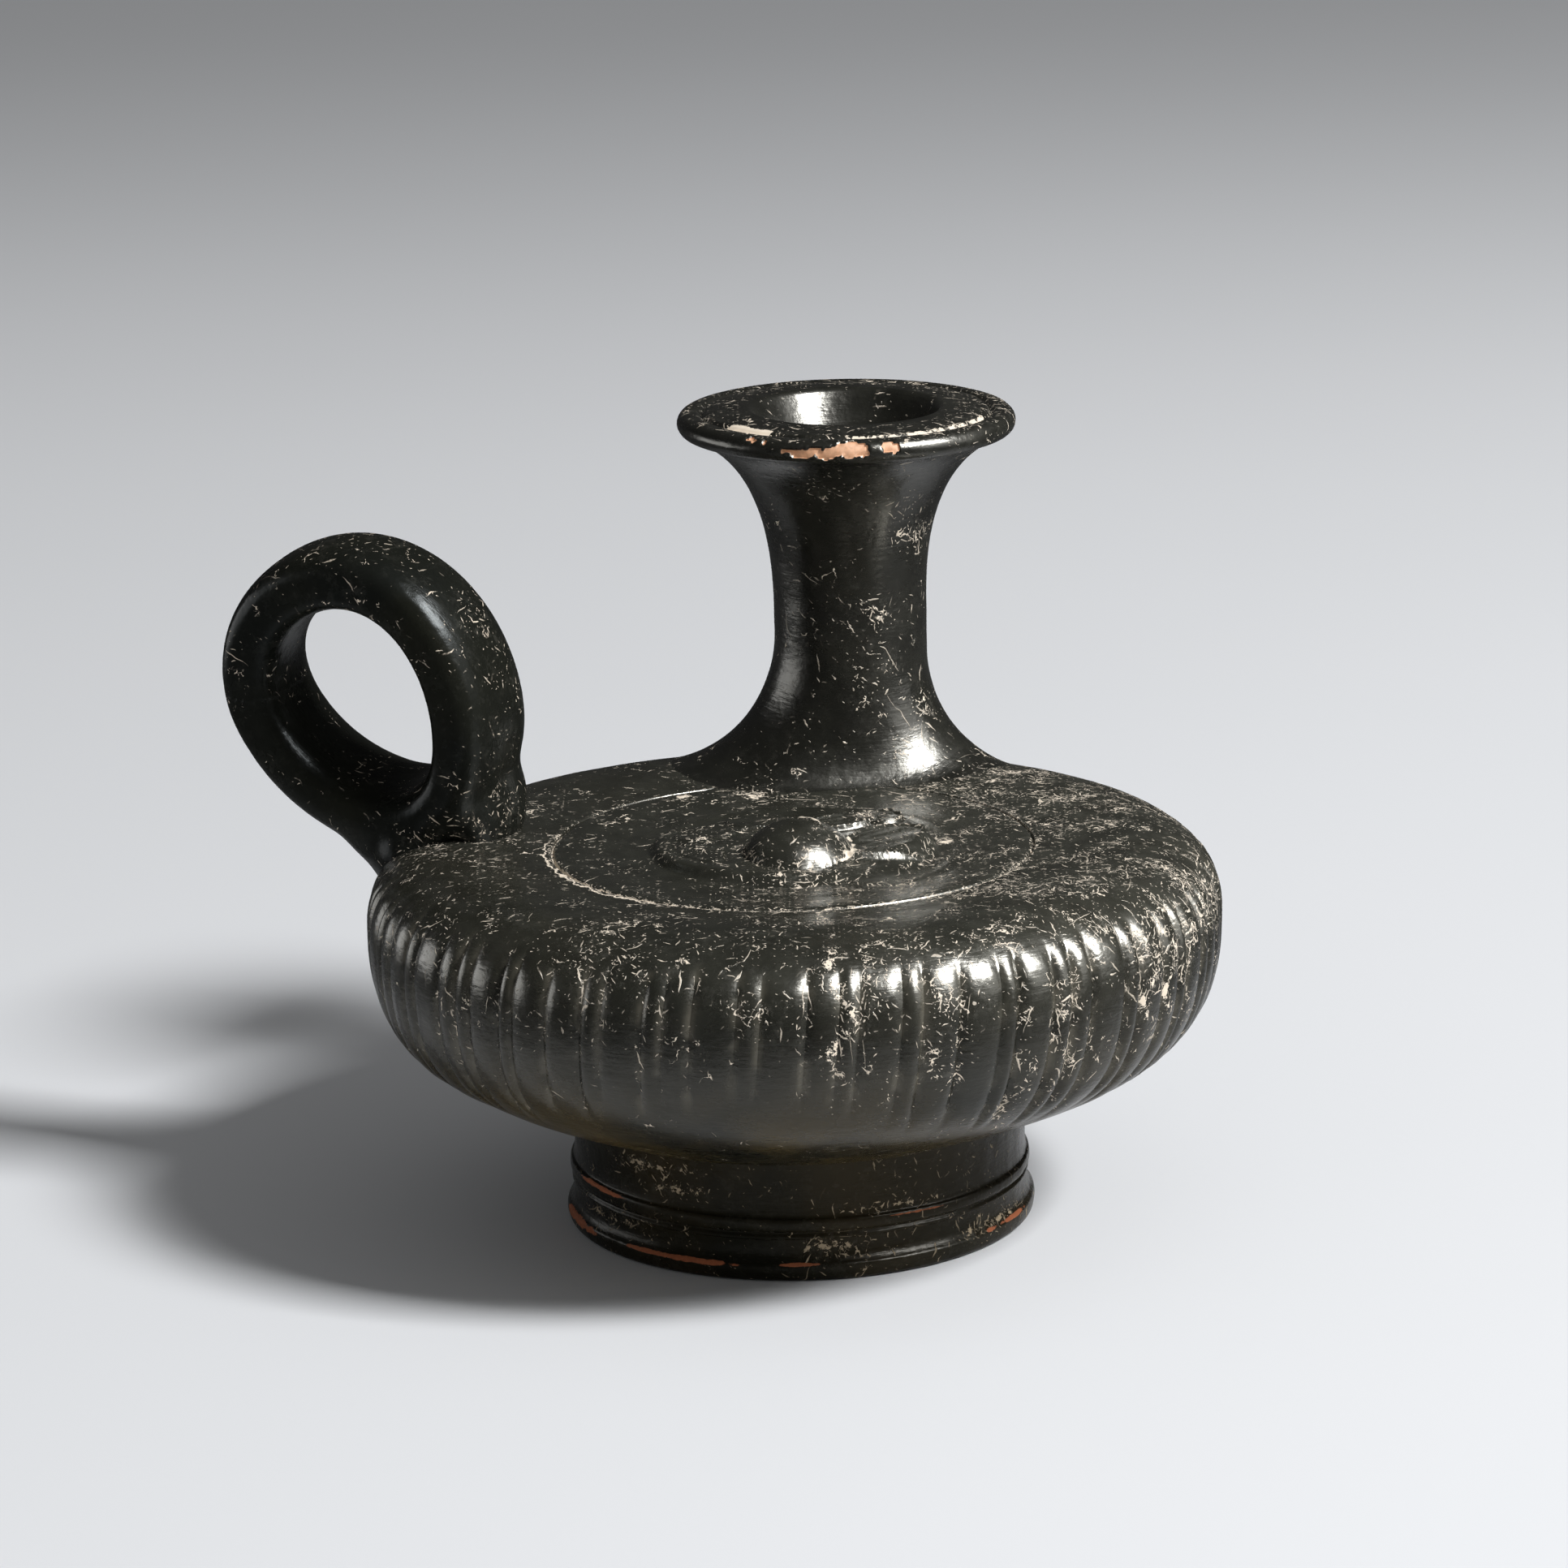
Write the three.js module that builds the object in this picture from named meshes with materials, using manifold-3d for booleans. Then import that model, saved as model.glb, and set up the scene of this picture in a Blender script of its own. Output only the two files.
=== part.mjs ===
// Squat black-gloss oil flask: ribbed body on a ring foot, moulded medallion let into
// the top, upright neck with a flaring mouth beside it, and a ring handle on the shoulder.
// Millimetres, +Z up, +X to the right, +Y away from the front.
import * as THREE from "three";
import { mergeVertices } from "three/addons/utils/BufferGeometryUtils.js";
import Module from "manifold-3d";

const wasm = await Module();
wasm.setup();

// Clearance between a piece and the curved face it follows
const GAP = 0.3;

// Ring foot, heights from the resting plane and insets from the bottom moulding
const FOOT_HEIGHT = 14.05;
const FOOT_RADIUS = 27.85;
const FOOT_TOP_WIDTH = 6.0;
const FOOT_REST_WIDTH = 2.8;
const FOOT_EDGE_ROUNDING = 1.2;
const FOOT_WAIST_INSET = 0.65;
const FOOT_COLLAR_INSET = 1.0;
const FOOT_STRIP_INSET = 0.25;
const FOOT_BAND_TOP = 5.8;
const FOOT_STRIP_HEIGHT = 1.3;

// Body shell, heights above its seat on the foot
const SEAT_OVERHANG = 0.4;
const BODY_RADIUS = 50.4;
const BELLY_HEIGHT = 22.2;
const BELLY_FULLNESS = 13.6;
const BASE_SLOPE = THREE.MathUtils.degToRad(21.6);
const BASE_FULLNESS = 17.0;
const CROWN_RISE = 9.05;
const CROWN_RADIUS = 39;
const CROWN_FULLNESS = 5.8;
const SHOULDER_FULLNESS = 7.5;
const SHOULDER_DIP = 0.7;
const UNDERSIDE_BULGE = 2.4;
const WALL = 3.6;

// Ribs pressed into the belly
const RIB_COUNT = 84;
const RIB_DEPTH = 0.55;
const RIB_START = 4.6;
const RIB_START_FADE = 5.0;
const RIB_END_DROP = 1.0;
const RIB_END_FADE = 3.0;
const RIB_LEAN = THREE.MathUtils.degToRad(3);
const RIB_EDGE = 0.28;

// Opening in the top, with the ledge that carries the medallion
const RECESS_RADIUS = 28.4;
const LEDGE_WIDTH = 4.4;
const LEDGE_DEPTH = 4.6;
const LEDGE_THICKNESS = 2.6;
const BEDDING_THICKNESS = 1.0;

// Medallion
const DISH_DEPTH = 1.4;
const FIELD_RADIUS = 16.3;
const FIELD_RISE = 1.3;
const BOSS_RADIUS = 4.4;
const BOSS_RISE = 2.3;
const PETAL_COUNT = 6;
const PETAL_RISE = 1.5;
const PETAL_REACH = 14.6;
const RELIEF_WEAR = 0.6;

// Neck, upright, between the medallion and the belly's edge; heights above the crown
const NECK_BEARING = THREE.MathUtils.degToRad(78.5);
const NECK_EDGE_MARGIN = 2.1;
const NECK_RADIUS = 9.35;
const NECK_BORE_RADIUS = 4.9;
const NECK_WAIST_TOP = 19.9;
const NECK_FLARE_HEIGHT = 40.8;
const LIP_RADIUS = 20.75;
const LIP_HALF_HEIGHT = 1.4;
const LIP_OVERHANG = 1.6;
const RIM_GROOVE_RADIUS = 17.7;
const RIM_GROOVE_DEPTH = 0.5;
const MOUTH_RADIUS = 11.6;
const MOUTH_RISE = 0.6;
const MOUTH_DEPTH = 22;
const PIERCED_RADIUS = 4.6;

// Clay coil that fairs the neck into the shoulder: how far it spreads past the neck at
// its sides, towards the medallion and towards the belly's edge
const COIL_SPREAD = 8.25;
const COIL_FRONT_SPREAD = 4.45;
const COIL_BACK_SPREAD = 1.25;
const COIL_HEIGHT = 10.1;
const COIL_EDGE = 0.5;

// Ring handle: oval loop of a flat strap, leaning in its own plane
const HANDLE_BEARING = THREE.MathUtils.degToRad(167.9);
const HANDLE_INSET = 0.2;
const HANDLE_RISE = 16.45;
const HANDLE_YAW = THREE.MathUtils.degToRad(25.8);
const HANDLE_LEAN = THREE.MathUtils.degToRad(-9.1);
const HANDLE_TURN = THREE.MathUtils.degToRad(33);
const HANDLE_HALF_WIDTH = 13.46;
const HANDLE_HALF_HEIGHT = 15.3;
const HANDLE_EGG = 0.13;
const STRAP_TOP_WIDTH = 11.1;
const STRAP_ROOT_WIDTH = 15.6;
const STRAP_CROWN = 4.2;
const STRAP_BELLY = 3.1;

// Clay pad pressed round the handle's root, a little inside the body's edge
const PAD_BEARING = THREE.MathUtils.degToRad(164);
const PAD_INSET = 5.6;
const PAD_LENGTH = 23;
const PAD_WIDTH = 15;
const PAD_RISE = 4.6;
const PAD_DROP = 2.4;

// Clay drawn down from both limbs of the strap into the pad
const OUTER_STEM_BEARING = THREE.MathUtils.degToRad(166);
const OUTER_STEM_OVERHANG = 0.1;
const OUTER_STEM_DROP = 0.5;
const OUTER_STEM_SLOPE = THREE.MathUtils.degToRad(44);
const OUTER_STEM_LENGTH = 20;
const OUTER_STEM_WIDTH = 12.8;
const OUTER_STEM_THICKNESS = 7.6;
const INNER_STEM_BEARING = THREE.MathUtils.degToRad(168.3);
const INNER_STEM_INSET = 13;
const INNER_STEM_RISE = 4.2;
const INNER_STEM_SLOPE = THREE.MathUtils.degToRad(80);
const INNER_STEM_LENGTH = 15;
const INNER_STEM_WIDTH = 15.2;
const INNER_STEM_THICKNESS = 8;

// Facets
const LATHE_STEPS = 56;
const NECK_STEPS = 36;
const HANDLE_STEPS = 48;
const STRAP_STEPS = 14;
const HOLE_STEPS = 24;
const BELLY_CURVE_STEPS = 8;
const SHOULDER_CURVE_STEPS = 5;
const FLARE_CURVE_STEPS = 7;
const FUNNEL_CURVE_STEPS = 6;

const gloss = { color: 0x17140f, roughness: 0.28, metalness: 0.0 };
const lutingClay = { color: 0x1d1913, roughness: 0.4, metalness: 0.0 };
const bareClay = { color: 0xa9683f, roughness: 0.85, metalness: 0.0 };

const bellyZ = FOOT_HEIGHT + BELLY_HEIGHT;
const crownZ = bellyZ + CROWN_RISE;
const seamZ = crownZ - SHOULDER_DIP;
const seatRadius = FOOT_RADIUS - FOOT_WAIST_INSET + SEAT_OVERHANG;
const footInnerTop = FOOT_RADIUS - FOOT_WAIST_INSET - FOOT_TOP_WIDTH;
const footRestOuter = FOOT_RADIUS - FOOT_EDGE_ROUNDING;
const footRestInner = footRestOuter - FOOT_REST_WIDTH;
const ledgeZ = seamZ - LEDGE_DEPTH;
const openingRadius = RECESS_RADIUS - LEDGE_WIDTH;
const neckOffset = BODY_RADIUS - NECK_EDGE_MARGIN - NECK_RADIUS;
const neckX = neckOffset * Math.cos(NECK_BEARING);
const neckY = neckOffset * Math.sin(NECK_BEARING);

function point(r, z) {
  return new THREE.Vector2(r, z);
}

function bezier(a, b, c, d, steps) {
  return new THREE.CubicBezierCurve(a, b, c, d).getPoints(steps);
}

function smoothstep(low, high, value) {
  return THREE.MathUtils.smoothstep(value, low, high);
}

// Closed solid from rings of points; a ring of one point is a pole, and a ring may have
// a whole number of times as many points as the next one.
function skin(rings, loops = false) {
  const positions = [];
  const starts = [];
  for (const ring of rings) {
    starts.push(positions.length / 3);
    for (const p of ring) positions.push(p.x, p.y, p.z);
  }
  const index = [];
  const bands = loops ? rings.length : rings.length - 1;
  for (let i = 0; i < bands; i++) {
    const j = (i + 1) % rings.length;
    stitch(index, starts[i], rings[i].length, starts[j], rings[j].length);
  }
  const geometry = new THREE.BufferGeometry();
  geometry.setAttribute("position", new THREE.Float32BufferAttribute(positions, 3));
  geometry.setIndex(index);
  return geometry;
}

function stitch(index, startA, countA, startB, countB) {
  const steps = Math.max(countA, countB);
  for (let k = 0; k < steps; k++) {
    const a0 = startA + Math.floor((k * countA) / steps);
    const a1 = startA + (Math.floor(((k + 1) * countA) / steps) % countA);
    const b0 = startB + Math.floor((k * countB) / steps);
    const b1 = startB + (Math.floor(((k + 1) * countB) / steps) % countB);
    if (a0 !== a1) index.push(a0, a1, b1);
    if (b0 !== b1) index.push(a0, b1, b0);
  }
}

function toSolid(geometry) {
  const bare = geometry.clone();
  bare.deleteAttribute("normal");
  bare.deleteAttribute("uv");
  const merged = mergeVertices(bare, 1e-4);
  const mesh = new wasm.Mesh({
    numProp: 3,
    vertProperties: new Float32Array(merged.attributes.position.array),
    triVerts: new Uint32Array(merged.index.array),
  });
  return new wasm.Manifold(mesh);
}

function toGeometry(solid) {
  const mesh = solid.getMesh();
  const geometry = new THREE.BufferGeometry();
  geometry.setAttribute("position", new THREE.BufferAttribute(mesh.vertProperties, 3));
  geometry.setIndex(new THREE.BufferAttribute(mesh.triVerts, 1));
  return geometry;
}

// Turned solid from a closed outline of radius and height
function turned(outline, steps) {
  const points = outline.map((p) => p.clone());
  points.push(points[0].clone());
  const geometry = new THREE.LatheGeometry(points, steps);
  geometry.rotateX(Math.PI / 2);
  return geometry;
}

function pieceMesh(name, geometry, finish) {
  const shown = geometry.index ? geometry.toNonIndexed() : geometry;
  shown.computeVertexNormals();
  const material = new THREE.MeshStandardMaterial({ ...finish, flatShading: true });
  const mesh = new THREE.Mesh(shown, material);
  mesh.name = name;
  return mesh;
}

// Outer outline of the body from its seat on the foot up to the seam of the medallion,
// pushed out by a distance
function bodyOutline(push, lowerSteps = BELLY_CURVE_STEPS, upperSteps = SHOULDER_CURVE_STEPS) {
  const seat = point(seatRadius, FOOT_HEIGHT);
  const along = point(Math.cos(BASE_SLOPE), Math.sin(BASE_SLOPE));
  const belly = point(BODY_RADIUS, bellyZ);
  const crown = point(CROWN_RADIUS, crownZ);
  const lowerHandle = seat.clone().addScaledVector(along, BASE_FULLNESS);
  const bellyBelow = point(BODY_RADIUS, bellyZ - BELLY_FULLNESS);
  const bellyAbove = point(BODY_RADIUS, bellyZ + SHOULDER_FULLNESS);
  const crownHandle = point(CROWN_RADIUS + CROWN_FULLNESS, crownZ);
  const lower = bezier(seat, lowerHandle, bellyBelow, belly, lowerSteps);
  const upper = bezier(belly, bellyAbove, crownHandle, crown, upperSteps);
  const middle = (CROWN_RADIUS + RECESS_RADIUS) / 2;
  const inner = [point(middle, crownZ - SHOULDER_DIP * 0.35), point(RECESS_RADIUS, seamZ)];
  const outline = [...lower, ...upper.slice(1), ...inner];
  return push === 0 ? outline : pushedOut(outline, push);
}

function pushedOut(outline, push) {
  return outline.map((p, i) => {
    const before = outline[Math.max(i - 1, 0)];
    const after = outline[Math.min(i + 1, outline.length - 1)];
    const along = after.clone().sub(before).normalize();
    return point(p.x + along.y * push, p.y - along.x * push);
  });
}

// Solid that fills the body and the medallion, larger by a clearance, for cutting what
// stands on them
function bodyEnvelope(clearance) {
  const outline = bodyOutline(clearance);
  const top = outline[outline.length - 1].y;
  return toSolid(turned([point(0, FOOT_HEIGHT), ...outline, point(0, top)], RIB_COUNT));
}

function ribDepth(z) {
  const low = FOOT_HEIGHT + RIB_START;
  const high = crownZ - RIB_END_DROP;
  const start = smoothstep(low, low + RIB_START_FADE, z);
  const end = 1 - smoothstep(high - RIB_END_FADE, high, z);
  return RIB_DEPTH * start * end;
}

// Bearings of the grooves, unevenly spaced as a hand tool leaves them
function grooveBearings() {
  const bearings = [];
  for (let k = 0; k < RIB_COUNT; k++) {
    const drift = 0.22 * Math.sin(2.4 * k) + 0.14 * Math.sin(5.3 * k + 1);
    bearings.push(((k + drift) * 2 * Math.PI) / RIB_COUNT);
  }
  return bearings;
}

function bodyRing(p, grooves, ribbed, normal) {
  const depth = ribbed ? ribDepth(p.y) : 0;
  const lean = (RIB_LEAN * (p.y - bellyZ)) / (crownZ - FOOT_HEIGHT);
  const ring = [];
  grooves.forEach((bearing, k) => {
    const last = k === grooves.length - 1;
    const next = last ? grooves[0] + 2 * Math.PI : grooves[k + 1];
    for (const share of ribbed ? [0, RIB_EDGE, 1 - RIB_EDGE] : [0]) {
      const angle = bearing + (next - bearing) * share + lean;
      const sink = share === 0 ? depth : 0;
      const r = p.x - normal.x * sink;
      const z = p.y - normal.y * sink;
      ring.push(new THREE.Vector3(r * Math.cos(angle), r * Math.sin(angle), z));
    }
  });
  return ring;
}

function bodyOuter() {
  const grooves = grooveBearings();
  const up = point(0, 1);
  const rings = [[new THREE.Vector3(0, 0, FOOT_HEIGHT - UNDERSIDE_BULGE)]];
  for (const share of [0.4, 0.75, 1]) {
    const p = point(footInnerTop * share, FOOT_HEIGHT - UNDERSIDE_BULGE * (1 - share * share));
    rings.push(bodyRing(p, grooves, false, up));
  }
  const outline = bodyOutline(0);
  const pushed = bodyOutline(1);
  outline.slice(0, -1).forEach((p, i) => {
    const normal = pushed[i].clone().sub(p);
    rings.push(bodyRing(p, grooves, ribDepth(p.y) > 0, normal));
  });
  const [outside, seam] = outline.slice(-2);
  const slope = (outside.y - seam.y) / (outside.x - seam.x);
  rings.push([new THREE.Vector3(0, 0, seam.y - slope * seam.x)]);
  return toSolid(skin(rings));
}

// Space inside the body, open at the top through the ledge and the recess
function bodyCavity() {
  const floorZ = FOOT_HEIGHT + WALL * 0.6;
  const ceilingZ = crownZ - WALL;
  const coarse = bodyOutline(-WALL, BELLY_CURVE_STEPS - 3, SHOULDER_CURVE_STEPS - 2);
  const walls = coarse.slice(0, -3);
  const inner = walls.filter((p) => p.x > footInnerTop && p.y > floorZ && p.y < ceilingZ);
  const ledgeUnderZ = ledgeZ - LEDGE_THICKNESS;
  const outline = [
    point(0, floorZ - UNDERSIDE_BULGE / 2),
    point(footInnerTop, floorZ),
    ...inner,
    point(CROWN_RADIUS, ceilingZ),
    point(openingRadius + LEDGE_WIDTH * 1.6, (ceilingZ + ledgeUnderZ) / 2),
    point(openingRadius, ledgeUnderZ),
    point(openingRadius, ledgeZ),
    point(RECESS_RADIUS, ledgeZ),
    point(RECESS_RADIUS, crownZ + WALL),
    point(0, crownZ + WALL),
  ];
  return toSolid(turned(outline, LATHE_STEPS));
}

function piercedHole() {
  const height = 2 * CROWN_RISE + WALL;
  const geometry = new THREE.CylinderGeometry(PIERCED_RADIUS, PIERCED_RADIUS, height, HOLE_STEPS);
  geometry.rotateX(Math.PI / 2);
  geometry.translate(neckX, neckY, crownZ);
  return toSolid(geometry);
}

function bodyShell() {
  const solid = bodyOuter().subtract(bodyCavity()).subtract(piercedHole());
  return pieceMesh("body_shell", toGeometry(solid), gloss);
}

function footRing() {
  const top = FOOT_RADIUS - FOOT_WAIST_INSET;
  const stripTop = FOOT_BAND_TOP + FOOT_STRIP_HEIGHT;
  const outline = [
    point(footRestInner, 0),
    point(footRestOuter, 0),
    point(FOOT_RADIUS - 0.3 * FOOT_EDGE_ROUNDING, 0.4 * FOOT_EDGE_ROUNDING),
    point(FOOT_RADIUS, 1.4 * FOOT_EDGE_ROUNDING),
    point(FOOT_RADIUS - 0.3 * FOOT_WAIST_INSET, 2.2 * FOOT_EDGE_ROUNDING),
    point(FOOT_RADIUS - FOOT_WAIST_INSET, 0.6 * FOOT_BAND_TOP),
    point(FOOT_RADIUS - FOOT_WAIST_INSET, 0.92 * FOOT_BAND_TOP),
    point(FOOT_RADIUS - FOOT_COLLAR_INSET, FOOT_BAND_TOP),
    point(FOOT_RADIUS - FOOT_STRIP_INSET, FOOT_BAND_TOP + 0.3 * FOOT_STRIP_HEIGHT),
    point(FOOT_RADIUS - FOOT_STRIP_INSET, stripTop),
    point(FOOT_RADIUS - FOOT_COLLAR_INSET, stripTop + 0.3 * FOOT_STRIP_HEIGHT),
    point(FOOT_RADIUS - FOOT_COLLAR_INSET, (stripTop + FOOT_HEIGHT) / 2),
    point(top, FOOT_HEIGHT),
    point(footInnerTop, FOOT_HEIGHT),
    point(footRestInner - 0.4 * FOOT_EDGE_ROUNDING, FOOT_EDGE_ROUNDING),
  ];
  return pieceMesh("foot_ring", turned(outline, LATHE_STEPS), gloss);
}

// Fillet of clay in the corner between the foot and the underside of the body
function footLutingCoil() {
  const size = 0.45 * FOOT_TOP_WIDTH;
  const outer = footInnerTop - GAP;
  const inner = outer - size;
  const dip = UNDERSIDE_BULGE * (1 - (inner / footInnerTop) ** 2);
  const underside = FOOT_HEIGHT - GAP;
  const outline = [
    point(outer, underside - size - GAP),
    point(outer, underside - GAP / 2),
    point(inner, underside - dip),
    point(outer - 0.72 * size, underside - dip - 0.28 * size),
    point(outer - 0.28 * size, underside - dip - 0.62 * size),
  ];
  return pieceMesh("foot_luting_coil", turned(outline, LATHE_STEPS), bareClay);
}

function medallionBedding() {
  const outline = [
    point(openingRadius + GAP, ledgeZ),
    point(RECESS_RADIUS - GAP, ledgeZ),
    point(RECESS_RADIUS - GAP, ledgeZ + BEDDING_THICKNESS),
    point(openingRadius + GAP, ledgeZ + BEDDING_THICKNESS),
  ];
  return pieceMesh("medallion_bedding", turned(outline, LATHE_STEPS), bareClay);
}

// Height of the rosette above the raised field; its petals are worn down to the left
function rosetteRise(r, angle) {
  const boss = BOSS_RISE * Math.sqrt(Math.max(0, 1 - (r / BOSS_RADIUS) ** 2));
  const middle = (BOSS_RADIUS + PETAL_REACH) / 2;
  const reach = (PETAL_REACH - BOSS_RADIUS) / 2;
  const along = Math.max(0, 1 - ((r - middle) / reach) ** 2);
  const across = Math.cos((PETAL_COUNT * angle) / 2) ** 2;
  const left = (1 - Math.cos(angle)) / 2;
  return boss + PETAL_RISE * along * across * (1 - RELIEF_WEAR * left);
}

function medallionDisc() {
  const steps = PETAL_COUNT * 8;
  const edge = RECESS_RADIUS - GAP;
  const dishZ = seamZ - DISH_DEPTH;
  const fieldZ = dishZ + FIELD_RISE;
  const bottomZ = ledgeZ + BEDDING_THICKNESS;
  const ringAt = (r, heightAt) => {
    const ring = [];
    for (let k = 0; k < steps; k++) {
      const angle = (k * 2 * Math.PI) / steps;
      ring.push(new THREE.Vector3(r * Math.cos(angle), r * Math.sin(angle), heightAt(angle)));
    }
    return ring;
  };
  const fieldRings = [0.5, 0.97, 1.4, 1.9, 2.4, 2.9, 3.3].map((k) => k * BOSS_RADIUS);
  const rings = [[new THREE.Vector3(0, 0, bottomZ)], ringAt(edge, () => bottomZ)];
  rings.push(ringAt(edge, () => seamZ - GAP));
  rings.push(ringAt(edge - GAP, () => seamZ));
  rings.push(ringAt(0.93 * edge, () => seamZ - 0.25 * DISH_DEPTH));
  rings.push(ringAt(0.78 * edge, () => seamZ - 0.85 * DISH_DEPTH));
  rings.push(ringAt(FIELD_RADIUS + 0.8 * FIELD_RISE, () => dishZ));
  rings.push(ringAt(FIELD_RADIUS, () => fieldZ));
  for (const r of fieldRings.filter((r) => r < FIELD_RADIUS - 0.5).reverse()) {
    rings.push(ringAt(r, (angle) => fieldZ + rosetteRise(r, angle)));
  }
  rings.push([new THREE.Vector3(0, 0, fieldZ + BOSS_RISE)]);
  return pieceMesh("medallion_disc", skin(rings), gloss);
}

// Outline of the neck, from its foot inside the shoulder's height up and over the lip
function neckOutline() {
  const waistTop = crownZ + NECK_WAIST_TOP;
  const flareTop = crownZ + NECK_FLARE_HEIGHT;
  const lipUnder = LIP_RADIUS - LIP_OVERHANG;
  const flareHeight = flareTop - waistTop;
  const reach = lipUnder - NECK_RADIUS;
  const flare = bezier(
    point(NECK_RADIUS, waistTop),
    point(NECK_RADIUS, waistTop + 0.46 * flareHeight),
    point(lipUnder - 0.73 * reach, flareTop - 0.14 * flareHeight),
    point(lipUnder, flareTop),
    FLARE_CURVE_STEPS,
  );
  const lipZ = flareTop + LIP_HALF_HEIGHT;
  const lip = [];
  for (const degrees of [-50, -20, 20, 50, 80]) {
    const turn = THREE.MathUtils.degToRad(degrees);
    const r = LIP_RADIUS - LIP_HALF_HEIGHT * (1 - Math.cos(turn));
    lip.push(point(r, lipZ + LIP_HALF_HEIGHT * Math.sin(turn)));
  }
  const rimZ = lipZ + LIP_HALF_HEIGHT;
  const mouthZ = rimZ + MOUTH_RISE;
  const funnel = bezier(
    point(MOUTH_RADIUS - 0.5, mouthZ - 0.2),
    point(MOUTH_RADIUS - 2.6, mouthZ - 0.2 * MOUTH_DEPTH),
    point(NECK_BORE_RADIUS + 0.2, mouthZ - 0.6 * MOUTH_DEPTH),
    point(NECK_BORE_RADIUS, mouthZ - MOUTH_DEPTH),
    FUNNEL_CURVE_STEPS,
  );
  return [
    point(NECK_BORE_RADIUS, ledgeZ),
    point(NECK_RADIUS, ledgeZ),
    ...flare,
    ...lip,
    point(RIM_GROOVE_RADIUS + 0.5, rimZ),
    point(RIM_GROOVE_RADIUS, rimZ - RIM_GROOVE_DEPTH),
    point(RIM_GROOVE_RADIUS - 0.5, rimZ),
    point(MOUTH_RADIUS + 0.6, mouthZ),
    ...funnel,
  ];
}

function neck() {
  const geometry = turned(neckOutline(), NECK_STEPS);
  geometry.translate(neckX, neckY, 0);
  const solid = toSolid(geometry).subtract(bodyEnvelope(GAP));
  return pieceMesh("neck", toGeometry(solid), gloss);
}

// The coil reaches less far towards the medallion, and least at the back, where the
// shoulder falls away
function neckLutingCoil() {
  const inner = NECK_RADIUS + GAP;
  const topRadius = inner + COIL_EDGE;
  const coilRadius = NECK_RADIUS + COIL_SPREAD;
  const topZ = crownZ + COIL_HEIGHT;
  const curve = bezier(
    point(coilRadius, crownZ + GAP),
    point(coilRadius - 2, crownZ + 0.17 * COIL_HEIGHT),
    point(topRadius, topZ - 0.4 * COIL_HEIGHT),
    point(topRadius, topZ),
    8,
  );
  const foot = [point(inner, ledgeZ), point(coilRadius, ledgeZ)];
  const section = [...foot, ...curve, point(inner, topZ)].reverse();
  const rings = [];
  for (let k = 0; k < NECK_STEPS; k++) {
    const angle = (k * 2 * Math.PI) / NECK_STEPS;
    const outward = Math.cos(angle - NECK_BEARING);
    const endSpread = outward > 0 ? COIL_BACK_SPREAD : COIL_FRONT_SPREAD;
    const spread = COIL_SPREAD - (COIL_SPREAD - endSpread) * Math.abs(outward) ** 1.5;
    const scale = (NECK_RADIUS + spread - topRadius) / (coilRadius - topRadius);
    rings.push(
      section.map((p) => {
        const r = Math.min(p.x, topRadius + (p.x - topRadius) * scale);
        return new THREE.Vector3(neckX + r * Math.cos(angle), neckY + r * Math.sin(angle), p.y);
      }),
    );
  }
  const solid = toSolid(skin(rings, true)).subtract(bodyEnvelope(GAP));
  return pieceMesh("neck_luting_coil", toGeometry(solid), lutingClay);
}

// Point at a bearing round the body, inset from its greatest radius and above the crown
function overBody(bearing, inset, rise) {
  const r = BODY_RADIUS - inset;
  return new THREE.Vector3(r * Math.cos(bearing), r * Math.sin(bearing), crownZ + rise);
}

// Frame of the handle's plane: across runs in the plane, rise up the plane, and side
// along the width of the strap
function handleFrame() {
  const across = new THREE.Vector3(Math.cos(HANDLE_YAW), -Math.sin(HANDLE_YAW), 0);
  const level = new THREE.Vector3(Math.sin(HANDLE_YAW), Math.cos(HANDLE_YAW), 0);
  const upright = new THREE.Vector3(0, 0, 1);
  const rise = upright.clone().multiplyScalar(Math.cos(HANDLE_LEAN));
  rise.addScaledVector(level, Math.sin(HANDLE_LEAN));
  const side = level.clone().multiplyScalar(Math.cos(HANDLE_LEAN));
  side.addScaledVector(upright, -Math.sin(HANDLE_LEAN));
  const centre = overBody(HANDLE_BEARING, HANDLE_INSET, HANDLE_RISE);
  return { centre, across, rise, side };
}

function handleCentreLine(theta) {
  const u = HANDLE_HALF_WIDTH * Math.cos(theta) * (1 + HANDLE_EGG * Math.sin(theta));
  const v = HANDLE_HALF_HEIGHT * Math.sin(theta);
  const turn = point(Math.cos(HANDLE_TURN), Math.sin(HANDLE_TURN));
  return point(u * turn.x - v * turn.y, u * turn.y + v * turn.x);
}

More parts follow.
